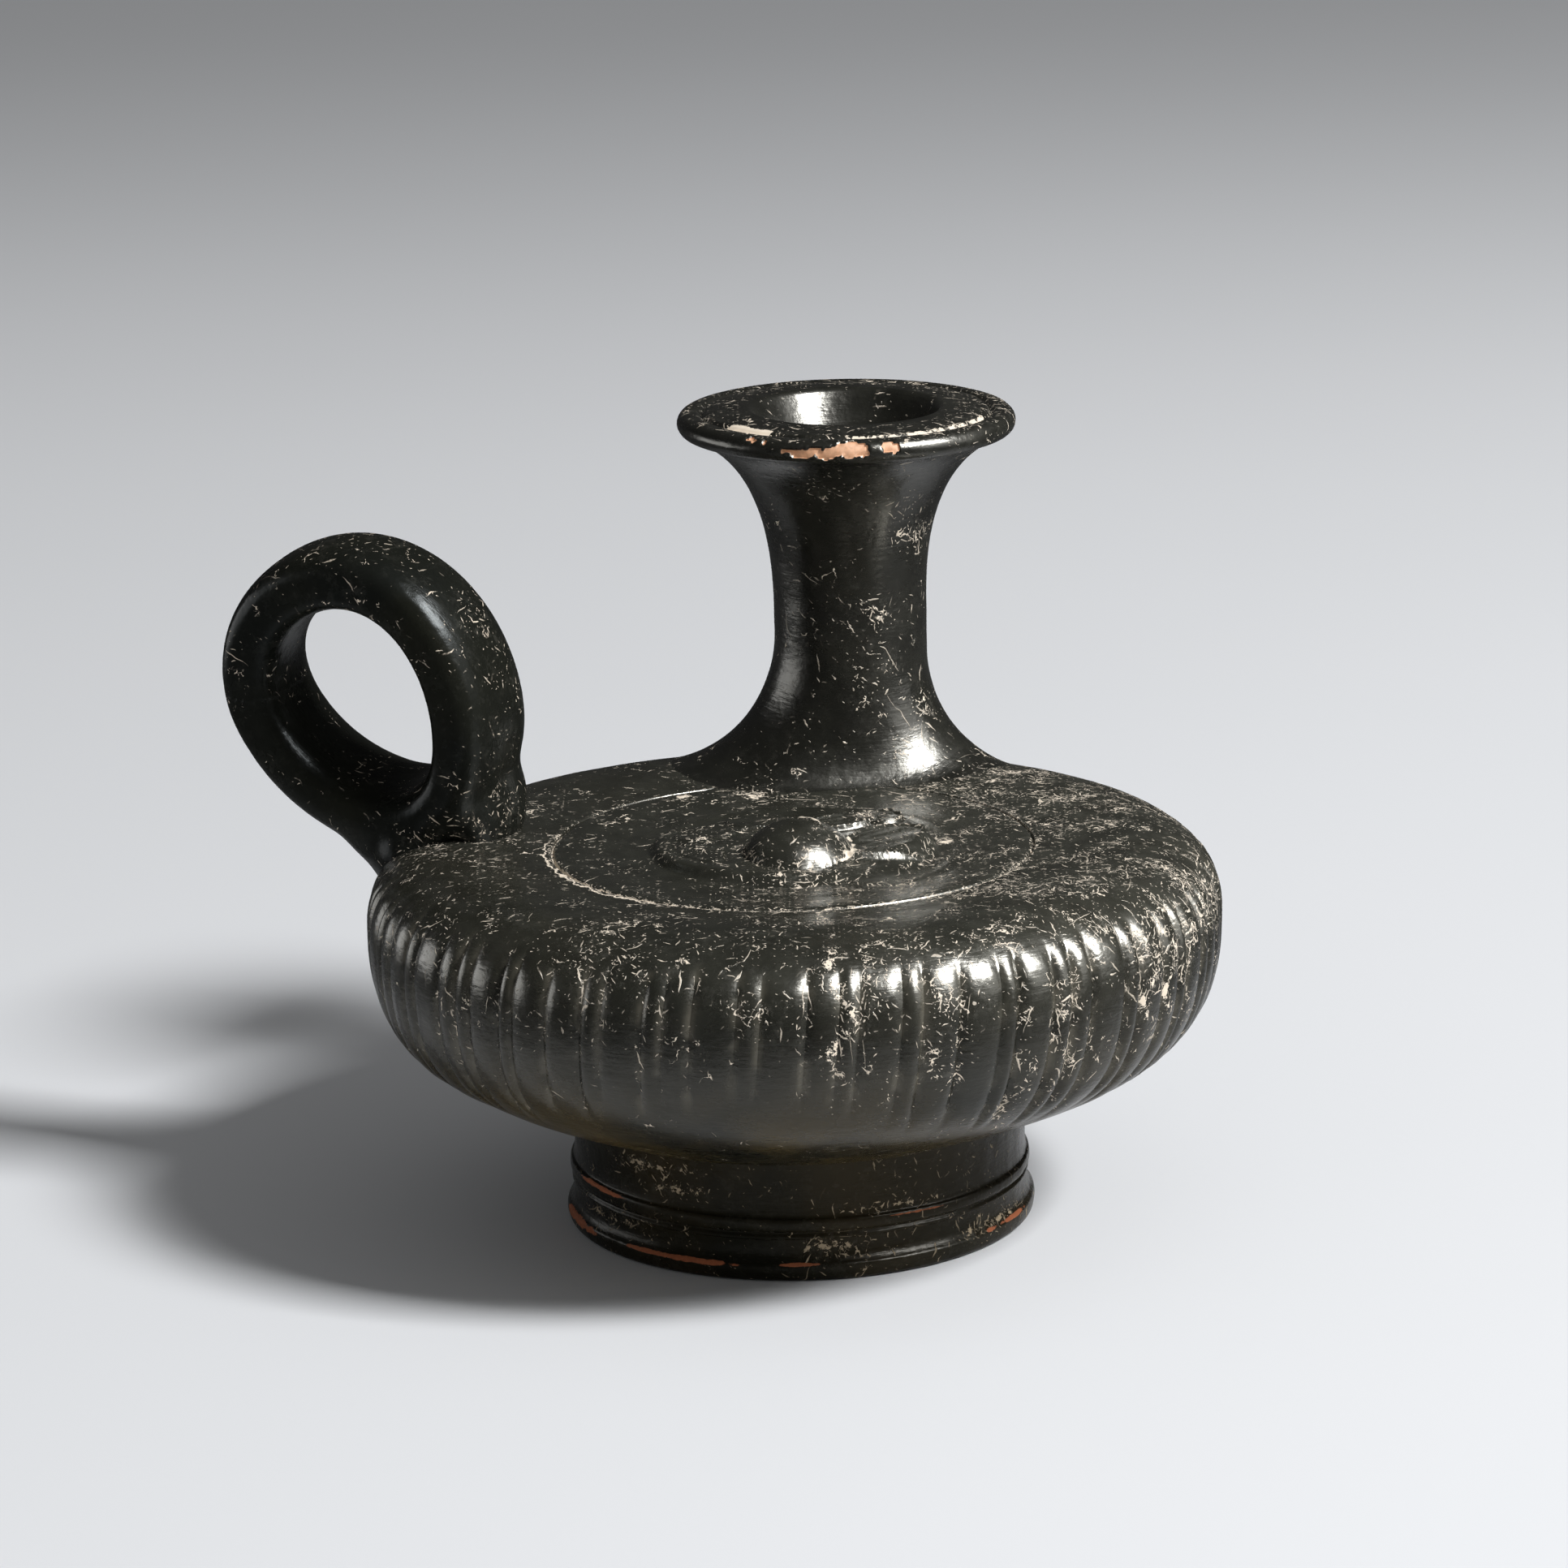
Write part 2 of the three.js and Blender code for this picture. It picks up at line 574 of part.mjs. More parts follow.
// The strap is domed outside and flatter inside; grow widens its section all round
function handleRing(theta, grow, frame) {
  const { centre, across, rise, side } = frame;
  const here = handleCentreLine(theta);
  const ahead = handleCentreLine(theta + 0.01).sub(handleCentreLine(theta - 0.01)).normalize();
  const out = across.clone().multiplyScalar(ahead.y).addScaledVector(rise, -ahead.x);
  const middle = centre.clone().addScaledVector(across, here.x).addScaledVector(rise, here.y);
  const rootShare = (1 - Math.sin(theta)) / 2;
  const width = STRAP_TOP_WIDTH + (STRAP_ROOT_WIDTH - STRAP_TOP_WIDTH) * rootShare;
  const ring = [];
  for (let k = 0; k < STRAP_STEPS; k++) {
    const turn = (-k * 2 * Math.PI) / STRAP_STEPS;
    const c = Math.cos(turn);
    const s = Math.sin(turn);
    const flatness = s < 0 ? 0.6 : 0.85;
    const depth = (s < 0 ? STRAP_BELLY : STRAP_CROWN) + grow;
    const x = Math.sign(c) * Math.abs(c) ** 0.75 * (width / 2 + grow);
    const y = Math.sign(s) * Math.abs(s) ** flatness * depth;
    ring.push(middle.clone().addScaledVector(side, x).addScaledVector(out, y));
  }
  return ring;
}

function handleSolid(grow) {
  const frame = handleFrame();
  const rings = [];
  for (let i = 0; i < HANDLE_STEPS; i++) {
    rings.push(handleRing((i * 2 * Math.PI) / HANDLE_STEPS, grow, frame));
  }
  return toSolid(skin(rings, true));
}

function ringHandle() {
  const solid = handleSolid(0).subtract(bodyEnvelope(GAP));
  return pieceMesh("ring_handle", toGeometry(solid), gloss);
}

// Egg of clay along a limb of the strap, sloping down in the handle's plane
function stemSolid(middle, slope, length, width, thickness) {
  const { across, rise, side } = handleFrame();
  const down = across.clone().multiplyScalar(Math.cos(slope)).addScaledVector(rise, -Math.sin(slope));
  const out = down.clone().cross(side);
  const geometry = new THREE.SphereGeometry(1, 24, 14);
  geometry.scale(length / 2, width / 2, thickness / 2);
  geometry.applyMatrix4(new THREE.Matrix4().makeBasis(down, side, out).setPosition(middle));
  return toSolid(geometry);
}

function outerStem() {
  const middle = overBody(OUTER_STEM_BEARING, -OUTER_STEM_OVERHANG, -OUTER_STEM_DROP);
  const slope = OUTER_STEM_SLOPE;
  return stemSolid(middle, slope, OUTER_STEM_LENGTH, OUTER_STEM_WIDTH, OUTER_STEM_THICKNESS);
}

function innerStem() {
  const middle = overBody(INNER_STEM_BEARING, INNER_STEM_INSET, INNER_STEM_RISE);
  const slope = INNER_STEM_SLOPE;
  return stemSolid(middle, slope, INNER_STEM_LENGTH, INNER_STEM_WIDTH, INNER_STEM_THICKNESS);
}

function handlePad() {
  const geometry = new THREE.SphereGeometry(1, 28, 16);
  geometry.scale(PAD_WIDTH / 2, PAD_LENGTH / 2, PAD_RISE + PAD_DROP);
  geometry.rotateZ(PAD_BEARING);
  const middle = overBody(PAD_BEARING, PAD_INSET, -PAD_DROP);
  geometry.translate(middle.x, middle.y, middle.z);
  const clay = toSolid(geometry).add(outerStem()).add(innerStem());
  const solid = clay.subtract(bodyEnvelope(GAP)).subtract(handleSolid(GAP));
  return pieceMesh("handle_luting_pad", toGeometry(solid), lutingClay);
}

const flask = new THREE.Group();
flask.add(
  bodyShell(),
  footRing(),
  footLutingCoil(),
  medallionBedding(),
  medallionDisc(),
  neck(),
  neckLutingCoil(),
  ringHandle(),
  handlePad(),
);

// The origin is the middle of the box on the resting plane
const box = new THREE.Box3().setFromObject(flask);
const middle = box.getCenter(new THREE.Vector3());
flask.position.set(-middle.x, -middle.y, -box.min.z);

export default flask;
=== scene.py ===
"""Ribbed black-gloss oil flask, dressed as fired and worn clay, on a plain pale floor.

Shapes are worked out in millimetres from the body's axis and the resting plane, then
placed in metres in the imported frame. Vertex attributes tell the materials where crust,
bare clay and grooves lie.
"""

from math import cos, pi, radians, sin

import bpy
import numpy as np
from mathutils import Matrix, Vector, noise


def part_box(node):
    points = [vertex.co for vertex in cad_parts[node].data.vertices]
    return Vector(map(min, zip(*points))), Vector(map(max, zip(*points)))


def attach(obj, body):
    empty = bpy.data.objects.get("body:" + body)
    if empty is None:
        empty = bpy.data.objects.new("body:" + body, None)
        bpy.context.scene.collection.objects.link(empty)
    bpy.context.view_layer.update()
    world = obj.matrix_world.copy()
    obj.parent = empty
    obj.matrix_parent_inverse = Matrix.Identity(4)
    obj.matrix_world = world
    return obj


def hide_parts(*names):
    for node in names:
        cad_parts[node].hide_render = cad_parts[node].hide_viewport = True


MM = 0.001

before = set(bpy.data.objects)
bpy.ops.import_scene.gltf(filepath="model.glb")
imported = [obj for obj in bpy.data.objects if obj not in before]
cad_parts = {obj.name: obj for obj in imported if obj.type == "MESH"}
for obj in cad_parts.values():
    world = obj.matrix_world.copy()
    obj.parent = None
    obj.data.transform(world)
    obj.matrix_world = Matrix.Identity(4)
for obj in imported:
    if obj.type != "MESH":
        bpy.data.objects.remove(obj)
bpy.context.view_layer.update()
foot_low, foot_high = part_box("foot_ring")
AXIS = Vector(((foot_low.x + foot_high.x) / 2, (foot_low.y + foot_high.y) / 2, 0.0))


def node_box(name):
    """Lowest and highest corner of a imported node, in millimetres from the body's axis."""
    low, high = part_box(name)
    return (low - AXIS) / MM, (high - AXIS) / MM


BODY_LOW, BODY_HIGH = node_box("body_shell")
NECK_LOW, NECK_HIGH = node_box("neck")
FOOT_LOW, FOOT_HIGH = node_box("foot_ring")

# Camera: it looks down a little at the flask through a long lens
CAMERA_PLACE = Vector((-0.87, -680.62, 231.14))
CAMERA_PITCH = 14.75
CAMERA_ROLL = -1.39
CAMERA_LENS = 137.97
CAMERA_SENSOR = 36.0

# Middle of the flask, which the lights face
HEART = Vector((0.0, 0.0, 40.0))

# Key light: a soft box high on the right, a little nearer than the flask
KEY_DIRECTION = Vector((0.602, -0.320, 0.731))
KEY_DISTANCE = 1600.0
KEY_SIZE = 370.0
KEY_POWER = 29.0

# Cards of light that show in the gloss: a low one on the left, a taller one on the right and
# the cloth of the soft box round the key light
CARDS = (
    ("soft_box", KEY_DIRECTION * KEY_DISTANCE, (820.0, 820.0), 85.0),
    ("left_card", Vector((-330.0, 60.0, 62.0)), (260.0, 110.0), 0.24),
    ("right_card", Vector((390.0, -130.0, 170.0)), (300.0, 260.0), 0.42),
)

WORLD_GREY = 0.18
FLOOR_SIZE = 6000.0

# Painted shade in reflections: the floor's colour turns dark in glossy rays past a distance from the axis,
# and the world is dimmer in glossy rays
REFLECTION_SHADE_NEAR = 55.0
REFLECTION_SHADE_FAR = 170.0
PAINTED_REFLECTION_SHADE = 0.93
ROOM_SHADE = 0.8

# Painted shade: the paper's colour gets darker far behind the flask, where the light falls off
PAPER_NEAR = 380.0
PAPER_FAR = 1100.0
PAPER_SHADE = 0.30

# Ring foot
FOOT_HEIGHT = FOOT_HIGH.z
FOOT_RADIUS = (FOOT_HIGH.x - FOOT_LOW.x) / 2 - 0.05
FOOT_TOP_RADIUS = FOOT_RADIUS - 0.65
FOOT_INNER_TOP = FOOT_TOP_RADIUS - 6.0
FOOT_REST_OUTER = FOOT_RADIUS - 1.2
FOOT_REST_INNER = FOOT_REST_OUTER - 2.8

# Body
RIB_SWELL = 0.24
BODY_RADIUS = (BODY_HIGH.x - BODY_LOW.x) / 2 - 0.1 - RIB_SWELL
SEAT_RADIUS = FOOT_TOP_RADIUS + 0.4
BELLY_Z = FOOT_HEIGHT + 22.2
BELLY_FULLNESS = 13.6
BASE_SLOPE = radians(21.6)
BASE_FULLNESS = 17.0
CROWN_Z = BODY_HIGH.z
CROWN_RADIUS = 39.0
CROWN_FULLNESS = 5.8
SHOULDER_FULLNESS = 7.5
SEAM_Z = CROWN_Z - 0.7
RECESS_RADIUS = 28.4
LEDGE_Z = SEAM_Z - 4.6
OPENING_RADIUS = 24.0
UNDERSIDE_BULGE = 2.4
WALL = 3.6

# Ribs pressed into the belly
RIB_COUNT = 84
RIB_DEPTH = 0.3
RIB_LOW_Z = FOOT_HEIGHT + 4.6
RIB_LOW_FADE = 5.0
RIB_FRONT_LIFT = 8.0
RIB_HIGH_Z = CROWN_Z - 1.0
RIB_HIGH_FADE = 3.0
RIB_LEAN = radians(3)
GROOVE_HALF_WIDTH = 0.55
RIB_SHARES = (0.0, 0.07, 0.15, 0.3, 0.5, 0.7, 0.85, 0.93)

# Medallion let into the top
MEDALLION_RADIUS = 28.1
SEAM_GROOVE = 0.5
DISH_DEPTH = 0.8
FIELD_RADIUS = 16.3
FIELD_DEPTH = 14.4
FIELD_RISE = 1.7
MEDALLION_BOTTOM_Z = LEDGE_Z + 1.0

# Neck beside the medallion
NECK_X = (NECK_LOW.x + NECK_HIGH.x) / 2
NECK_Y = (NECK_LOW.y + NECK_HIGH.y) / 2
NECK_RADIUS = 9.35
NECK_BORE_RADIUS = 4.9
PIERCE_RADIUS = 4.6
PIERCE_DEPTH = 20.0
WAIST_Z = CROWN_Z + 19.9
FLARE_Z = CROWN_Z + 40.8
LIP_RADIUS = (NECK_HIGH.x - NECK_LOW.x) / 2
LIP_HALF_HEIGHT = 1.4
LIP_OVERHANG = 1.6
RIM_GROOVE_RADIUS = 17.7
MOUTH_RADIUS = 11.6
MOUTH_Z = NECK_HIGH.z - 0.15
MOUTH_DEPTH = 22.0
MOUTH_DIP = 0.008
FILLET_HEIGHT = 14.85
FILLET_LEFT_RISE = 1.4
FILLET_TO_RIGHT = 20.5
FILLET_TO_LEFT = 24.0
FILLET_TO_FRONT = 13.4
FILLET_TO_BACK = 10.6
FILLET_EDGE_MARGIN = 1.0

# Ring handle on the shoulder
HANDLE_BEARING = radians(167.9)
HANDLE_RISE = 16.35
HANDLE_YAW = radians(25.8)
HANDLE_LEAN = radians(-9.1)
HANDLE_TURN = radians(33)
HANDLE_HALF_WIDTH = 13.46
HANDLE_HALF_HEIGHT = 15.3
HANDLE_EGG = 0.13
STRAP_TOP_WIDTH = 11.1
STRAP_ROOT_WIDTH = 15.6
STRAP_CROWN = 4.0
STRAP_BELLY = 3.6
STRAP_VOXEL = 0.42

STRAP_ROUNDS = 8
ROOT_ROUNDS = 60
ROOT_SOFT_Z = 53.0
ROOT_SOFT_END_Z = 59.0
PAD_BEARING = radians(164)
PAD_HALVES = (7.2, 11.0, 6.8)

# How far a luted piece sinks into what carries it
SINK = 0.12

# Columns of the meshes round their axes
MEDALLION_COLUMNS = 440
NECK_COLUMNS = 600
FOOT_COLUMNS = 480
ENVELOPE_COLUMNS = 360


def placed(point):
    """A point in millimetres from the body's axis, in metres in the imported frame."""
    return AXIS + Vector(point) * MM


def smoothstep(low, high, value):
    share = np.clip((value - low) / (high - low), 0.0, 1.0)
    return share * share * (3 - 2 * share)


def bezier(a, b, c, d, steps):
    """Points of a cubic curve, without its last one."""
    t = np.arange(steps)[:, None] / steps
    a, b, c, d = (np.array(p, float) for p in (a, b, c, d))
    return a * (1 - t) ** 3 + 3 * b * t * (1 - t) ** 2 + 3 * c * t * t * (1 - t) + d * t**3


def straight(a, b, steps):
    t = np.arange(steps)[:, None] / steps
    return np.array(a, float) * (1 - t) + np.array(b, float) * t


def path(corners, steps):
    """Points along straight lines from corner to corner, without the last corner."""
    return np.concatenate([straight(a, b, count) for a, b, count in zip(corners, corners[1:], steps)])


def outline_normals(outline):
    """Unit vectors to the right of an outline as it is followed."""
    ahead = np.gradient(outline, axis=0)
    ahead /= np.linalg.norm(ahead, axis=1, keepdims=True)
    return np.stack((ahead[:, 1], -ahead[:, 0]), axis=1)


def ripple(points, size, seed):
    """Smooth noise from -1 to 1 at each point; size is its grain in millimetres."""
    shift = Vector((seed * 17.3, seed * 5.1, seed * 11.7))
    flat = points.reshape(-1, 3) / size
    values = np.array([noise.noise(Vector(p) + shift) for p in flat])
    return values.reshape(points.shape[:-1])


def full_turn(columns):
    """Bearings of evenly spaced columns round an axis."""
    return np.arange(columns) * 2 * pi / columns


def turned_from(bearings, degrees):
    """Angle of each bearing from the one given in degrees, at most half a turn either way."""
    return np.angle(np.exp(1j * (bearings - radians(degrees))))


def bell(away, width):
    """1 at no distance, falling to nothing a few widths away."""
    return np.exp(-((away / width) ** 2))


def spin(outline, bearings):
    """Rings of points from an outline of radius and height, one ring for each point."""
    x = outline[:, 0, None] * np.cos(bearings)
    y = outline[:, 0, None] * np.sin(bearings)
    z = np.broadcast_to(outline[:, 1, None], x.shape)
    return np.stack((x, y, z), axis=-1)


def add_object(name, data):
    new = bpy.data.objects.new(name, data)
    bpy.context.scene.collection.objects.link(new)
    return new


def finish_mesh(mesh, attributes, material, sharp_angle):
    """Give a mesh its vertex attributes, its material and smooth shading."""
    for key, values in attributes.items():
        layer = mesh.attributes.new(key, "FLOAT", "POINT")
        layer.data.foreach_set("value", np.asarray(values, np.float32).ravel())
    mesh.materials.clear()
    mesh.materials.append(material)
    mesh.shade_smooth()
    mesh.set_sharp_from_angle(angle=radians(sharp_angle))


def outward(bearings):
    """Level unit vectors at bearings round the axis."""
    return np.stack((np.cos(bearings), np.sin(bearings), np.zeros_like(bearings)), axis=-1)


def add_mesh(name, vertices, faces, attributes, material, sharp_angle=40):
    """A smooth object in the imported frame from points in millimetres."""
    mesh = bpy.data.meshes.new(name)
    mesh.from_pydata((vertices * MM + np.array(AXIS)).tolist(), [], faces)
    mesh.validate()
    finish_mesh(mesh, attributes, material, sharp_angle)
    return add_object(name, mesh)


def ring_faces(rows, columns, loops):
    """Quads between rows of a grid whose columns close into rings."""
    index = np.arange(rows * columns).reshape(rows, columns)
    beyond = np.roll(index, -1, axis=0)
    last = rows if loops else rows - 1
    a = index[:last]
    b = np.roll(index, -1, axis=1)[:last]
    c = np.roll(beyond, -1, axis=1)[:last]
    d = beyond[:last]
    return np.stack((a, b, c, d), axis=-1).reshape(-1, 4).tolist()


def add_grid(name, points, attributes, material):
    """An object from a grid of points that closes into itself both ways."""
    faces = ring_faces(*points.shape[:2], True)
    return add_mesh(name, points.reshape(-1, 3), faces, attributes, material)


def capped_solid(rings):
    """Vertices and faces of rings closed at both ends by a pole at the rings' middles."""
    rows, columns = rings.shape[:2]
    faces = ring_faces(rows, columns, False)
    poles = np.array([rings[0].mean(axis=0), rings[-1].mean(axis=0)])
    bottom = rows * columns
    for k in range(columns):
        after = (k + 1) % columns
        faces.append((bottom, after, k))
        faces.append((bottom + 1, (rows - 1) * columns + k, (rows - 1) * columns + after))
    return np.concatenate((rings.reshape(-1, 3), poles)), faces


def capped_values(values):
    """Vertex values of a capped solid from the values of its rings."""
    return np.concatenate((values.ravel(), [values[0].mean(), values[-1].mean()]))


# Places of the cream crust: middle, radius and strength of each patch
CRUST_PATCHES = (
    ((-38.0, 6.0, 45.5), 6.0, 0.8),
    ((-43.0, 1.5, 44.5), 3.5, 0.7),
    ((-31.5, 15.7, 46.0), 2.2, 1.15),
    ((-13.0, 23.4, 45.2), 2.4, 1.0),
    ((-4.5, 23.8, 45.2), 3.0, 1.05),
    ((4.0, 20.6, 44.8), 2.6, 0.9),
    ((18.0, 2.5, 44.2), 1.1, 1.6),
    ((14.8, -5.5, 46.5), 0.9, 1.6),
    ((1.9, -10.8, 47.4), 1.0, 2.6),
    ((6.4, -7.6, 46.0), 1.7, 1.2),
    ((-1.5, -13.8, 45.6), 1.8, 0.95),
    ((24.0, 24.0, 46.0), 8.0, 0.7),
    ((34.0, 12.0, 44.5), 9.0, 0.6),
    ((45.0, -14.0, 41.0), 7.0, 0.7),
    ((30.0, -20.0, 45.0), 9.0, 0.35),
    ((0.0, -15.5, 44.5), 6.0, 0.8),
    ((-8.0, -3.0, 44.5), 6.0, 0.6),
    ((-20.0, -34.0, 44.0), 6.0, 0.45),
    ((15.4, 32.5, 75.3), 2.4, 0.9),
    ((11.6, 29.9, 64.8), 2.0, 0.8),
    ((11.2, 29.7, 59.8), 2.2, 0.9),
    ((9.0, 29.5, 55.3), 2.6, 0.6),
    ((17.5, 32.5, 52.8), 3.2, 0.9),
    ((4.5, 25.0, 84.3), 3.4, 0.45),
    ((-50.0, 10.0, 79.0), 6.0, 0.45),
    ((-36.0, 4.0, 70.0), 4.5, 0.5),
)

# Crust caught between the ribs: bearing, lowest and highest point, strength
RIB_STREAKS = (
    (-84.5, 31.0, 44.5, 1.0),
    (-79.3, 40.0, 44.0, 0.8),
    (-79.6, 28.0, 32.0, 0.6),
    (-71.8, 30.0, 38.5, 0.8),
    (-60.0, 21.0, 31.0, 0.8),
    (-53.7, 27.0, 36.5, 0.8),
    (-47.4, 26.0, 33.0, 0.7),
    (-41.0, 36.0, 43.0, 0.7),
    (-37.0, 29.0, 41.5, 1.0),
    (-32.0, 31.0, 42.0, 1.0),
    (-26.0, 29.0, 40.0, 0.8),
    (-104.9, 41.8, 43.8, 0.8),
    (-109.0, 36.0, 40.0, 0.5),
)


def crust_at(points):
    """Share of crust at each point, from the patches that lie near it."""
    total = np.zeros(points.shape[:-1])
    for middle, radius, strength in CRUST_PATCHES:
        away = np.linalg.norm(points - np.array(middle), axis=-1)
        total = np.maximum(total, strength * bell(away, radius))
    return total


def seam_crust(points):
    """Share of crust along the seam of the medallion."""
    away = np.hypot(points[..., 0], points[..., 1]) - RECESS_RADIUS
    front = 0.5 - 0.5 * points[..., 1] / RECESS_RADIUS
    return (0.6 + 0.55 * np.clip(front, 0, 1)) * bell(away, 0.75) * (points[..., 2] > SEAM_Z - 1.2)


def streaks_at(points):
    """Share of crust between the ribs at each point of the body."""
    bearings = np.degrees(np.arctan2(points[..., 1], points[..., 0]))
    total = np.zeros(points.shape[:-1])
    z = points[..., 2]
    for bearing, low, high, strength in RIB_STREAKS:
        middle = bearing + 1.6 * np.sin(0.7 * z)
        along = smoothstep(low - 1.5, low, z) * (1 - smoothstep(high, high + 1.5, z))
        total = np.maximum(total, strength * bell(bearings - middle, 1.3) * along)
    return total


# Shape of the body

def body_curve():
    """Outer outline of the body from its seat on the foot to the seam of the medallion."""
    along = np.array((cos(BASE_SLOPE), sin(BASE_SLOPE)))
    seat = np.array((SEAT_RADIUS, FOOT_HEIGHT))
    belly = (BODY_RADIUS, BELLY_Z)
    crown = (CROWN_RADIUS, CROWN_Z)
    lower = bezier(seat, seat + along * BASE_FULLNESS, (BODY_RADIUS, BELLY_Z - BELLY_FULLNESS), belly, 48)
    above = (BODY_RADIUS, BELLY_Z + SHOULDER_FULLNESS)
    upper = bezier(belly, above, (CROWN_RADIUS + CROWN_FULLNESS, CROWN_Z), crown, 26)
    seam = (RECESS_RADIUS + 0.35, SEAM_Z)
    top = bezier(crown, (CROWN_RADIUS - 3.5, CROWN_Z), (RECESS_RADIUS + 3, SEAM_Z + 0.1), seam, 14)
    edge = bezier(seam, (RECESS_RADIUS + 0.1, SEAM_Z), (RECESS_RADIUS, SEAM_Z - 0.1),
                  (RECESS_RADIUS, SEAM_Z - 0.35), 4)
    return lower, upper, top, edge


def body_outline():
    """Whole outline of the body: underside, outside, recess, ledge and inside."""
    shares = np.linspace(0.08, 1, 6)[:, None]
    sag = FOOT_HEIGHT - UNDERSIDE_BULGE * (1 - shares**2)
    underside = np.concatenate((FOOT_INNER_TOP * shares, sag), axis=1)
    outside = np.concatenate(body_curve())
    under_ledge = (OPENING_RADIUS, LEDGE_Z - 2.6)
    ceiling = (CROWN_RADIUS, CROWN_Z - WALL)
    inner_belly = (BODY_RADIUS - WALL, BELLY_Z)
    floor = (FOOT_INNER_TOP, FOOT_HEIGHT + 0.6 * WALL)
    recess = ((RECESS_RADIUS, SEAM_Z - 0.35), (RECESS_RADIUS, LEDGE_Z), (OPENING_RADIUS, LEDGE_Z))
    inner = BODY_RADIUS - WALL
    inside = np.concatenate((
        path((*recess, under_ledge, ceiling), (3, 2, 2, 4)),
        bezier(ceiling, (CROWN_RADIUS + 6, CROWN_Z - WALL), (inner, BELLY_Z + 6), inner_belly, 6),
        bezier(inner_belly, (inner, BELLY_Z - 12), (FOOT_INNER_TOP + 16, floor[1] + 5), floor, 8),
        straight(floor, (1.5, floor[1] - 0.5 * UNDERSIDE_BULGE), 4),
    ))
    return underside, outside, inside


def ground_height(r):
    """Height of the top of the flask at a distance from its axis, without the relief."""
    shoulder = np.concatenate(body_curve()[1:3])[::-1]
    dish = SEAM_Z - DISH_DEPTH * (1 - smoothstep(19.0, 27.6, r))
    return np.where(r < RECESS_RADIUS + 0.3, dish, np.interp(r, shoulder[:, 0], shoulder[:, 1]))


def groove_bearings():
    """Bearings of the grooves, unevenly spaced as a hand tool leaves them."""
    k = np.arange(RIB_COUNT)
    drift = 0.22 * np.sin(2.4 * k) + 0.14 * np.sin(5.3 * k + 1)
    return (k + drift) * 2 * pi / RIB_COUNT


def rib_columns():
    """Bearing, distance to the nearest groove and strength of that groove, column by column."""
    grooves = groove_bearings()
    gaps = np.diff(np.append(grooves, grooves[0] + 2 * pi))
    shares = np.array(RIB_SHARES)
    bearings = (grooves[:, None] + gaps[:, None] * shares).ravel()
    away = (gaps[:, None] * np.minimum(shares, 1 - shares)).ravel()
    across = (np.ones(RIB_COUNT)[:, None] * (1 - np.abs(2 * shares - 1) ** 2.3)).ravel()
    k = np.arange(RIB_COUNT)
    strength = 1 + 0.3 * np.sin(3.7 * k + 0.5) + 0.15 * np.sin(7.9 * k)
    nearest = (k[:, None] + (shares > 0.5)) % RIB_COUNT
    return bearings, away, across, strength[nearest].ravel(), nearest.ravel()


def body_surface(material):
    underside, outside, inside = body_outline()
    outline = np.concatenate((underside, outside, inside))
    normals = outline_normals(outline)
    bearings, away, across, strength, nearest = rib_columns()
    z = outline[:, 1, None]
    lean = RIB_LEAN * (z - BELLY_Z) / (CROWN_Z - FOOT_HEIGHT)
    turned = bearings + lean
    lift = RIB_FRONT_LIFT * bell(turned_from(turned, -100), radians(30))
    start = RIB_LOW_Z + 0.9 * np.sin(2.9 * nearest) + lift
    end = RIB_HIGH_Z - 0.35 + 0.35 * np.sin(4.3 * nearest + 2)
    reach = smoothstep(start, start + RIB_LOW_FADE, z) * (1 - smoothstep(end - RIB_HIGH_FADE, end, z))
    softness = 1 - 0.6 * bell(turned_from(turned, -102), radians(24))
    groove = bell(away * outline[:, 0, None], GROOVE_HALF_WIDTH) * reach * strength
    is_outside = np.zeros(len(outline), bool)
    is_outside[len(underside) : len(underside) + len(outside)] = True
    groove *= is_outside[:, None]
    sink = RIB_DEPTH * softness * groove - RIB_SWELL * across * reach * is_outside[:, None]
    r = outline[:, 0, None] - normals[:, 0, None] * sink
    height = z - normals[:, 1, None] * sink
    points = np.stack((r * np.cos(turned), r * np.sin(turned), height), axis=-1)
    outer = slice(len(underside), len(underside) + len(outside) - 8)
    wobble = 0.16 * ripple(points[outer], 17.0, 1) + 0.05 * ripple(points[outer], 5.0, 2)
    radial = points[outer].copy()
    radial[..., 2] = 0
    radial /= np.linalg.norm(radial, axis=-1, keepdims=True)
    points[outer] += radial * wobble[..., None] * normals[outer, 0][:, None, None]
    points[outer][..., 2] += wobble * normals[outer, 1][:, None]
    vertices, faces = capped_solid(points)
    crust = np.maximum(np.maximum(crust_at(points), streaks_at(points)), seam_crust(points))
    attributes = {
        "groove": capped_values(np.clip(groove, 0, 1)),
        "crust": capped_values(crust * is_outside[:, None]),
    }
    piece = add_mesh("body_surface", vertices, faces, attributes, material)
    pierce(piece)
    return piece


def pierce(piece):
    """Cut the hole that opens the body under the neck."""
    bpy.ops.mesh.primitive_cylinder_add(vertices=48, radius=PIERCE_RADIUS * MM, depth=PIERCE_DEPTH * MM,
                                        location=placed((NECK_X, NECK_Y, CROWN_Z)))
    cut_away(piece, bpy.context.object)


def cut_away(piece, cutter):
    """Take a cutter's volume out of a piece, and the cutter out of the scene."""
    cut = piece.modifiers.new("cut", "BOOLEAN")
    cut.operation = "DIFFERENCE"
    cut.object = cutter
    apply_modifiers(piece)
    bpy.data.objects.remove(cutter)


def apply_modifiers(piece):
    """Replace the piece's mesh by what its modifiers make of it."""
    graph = bpy.context.evaluated_depsgraph_get()
    result = bpy.data.meshes.new_from_object(piece.evaluated_get(graph), depsgraph=graph)
    piece.modifiers.clear()
    piece.data = result


# Carving of the medallion: a boss near the front of its field
BOSS_MIDDLE = (0.6, -5.0)
BOSS_HALVES = (6.3, 6.8)
BOSS_RISE = 3.9

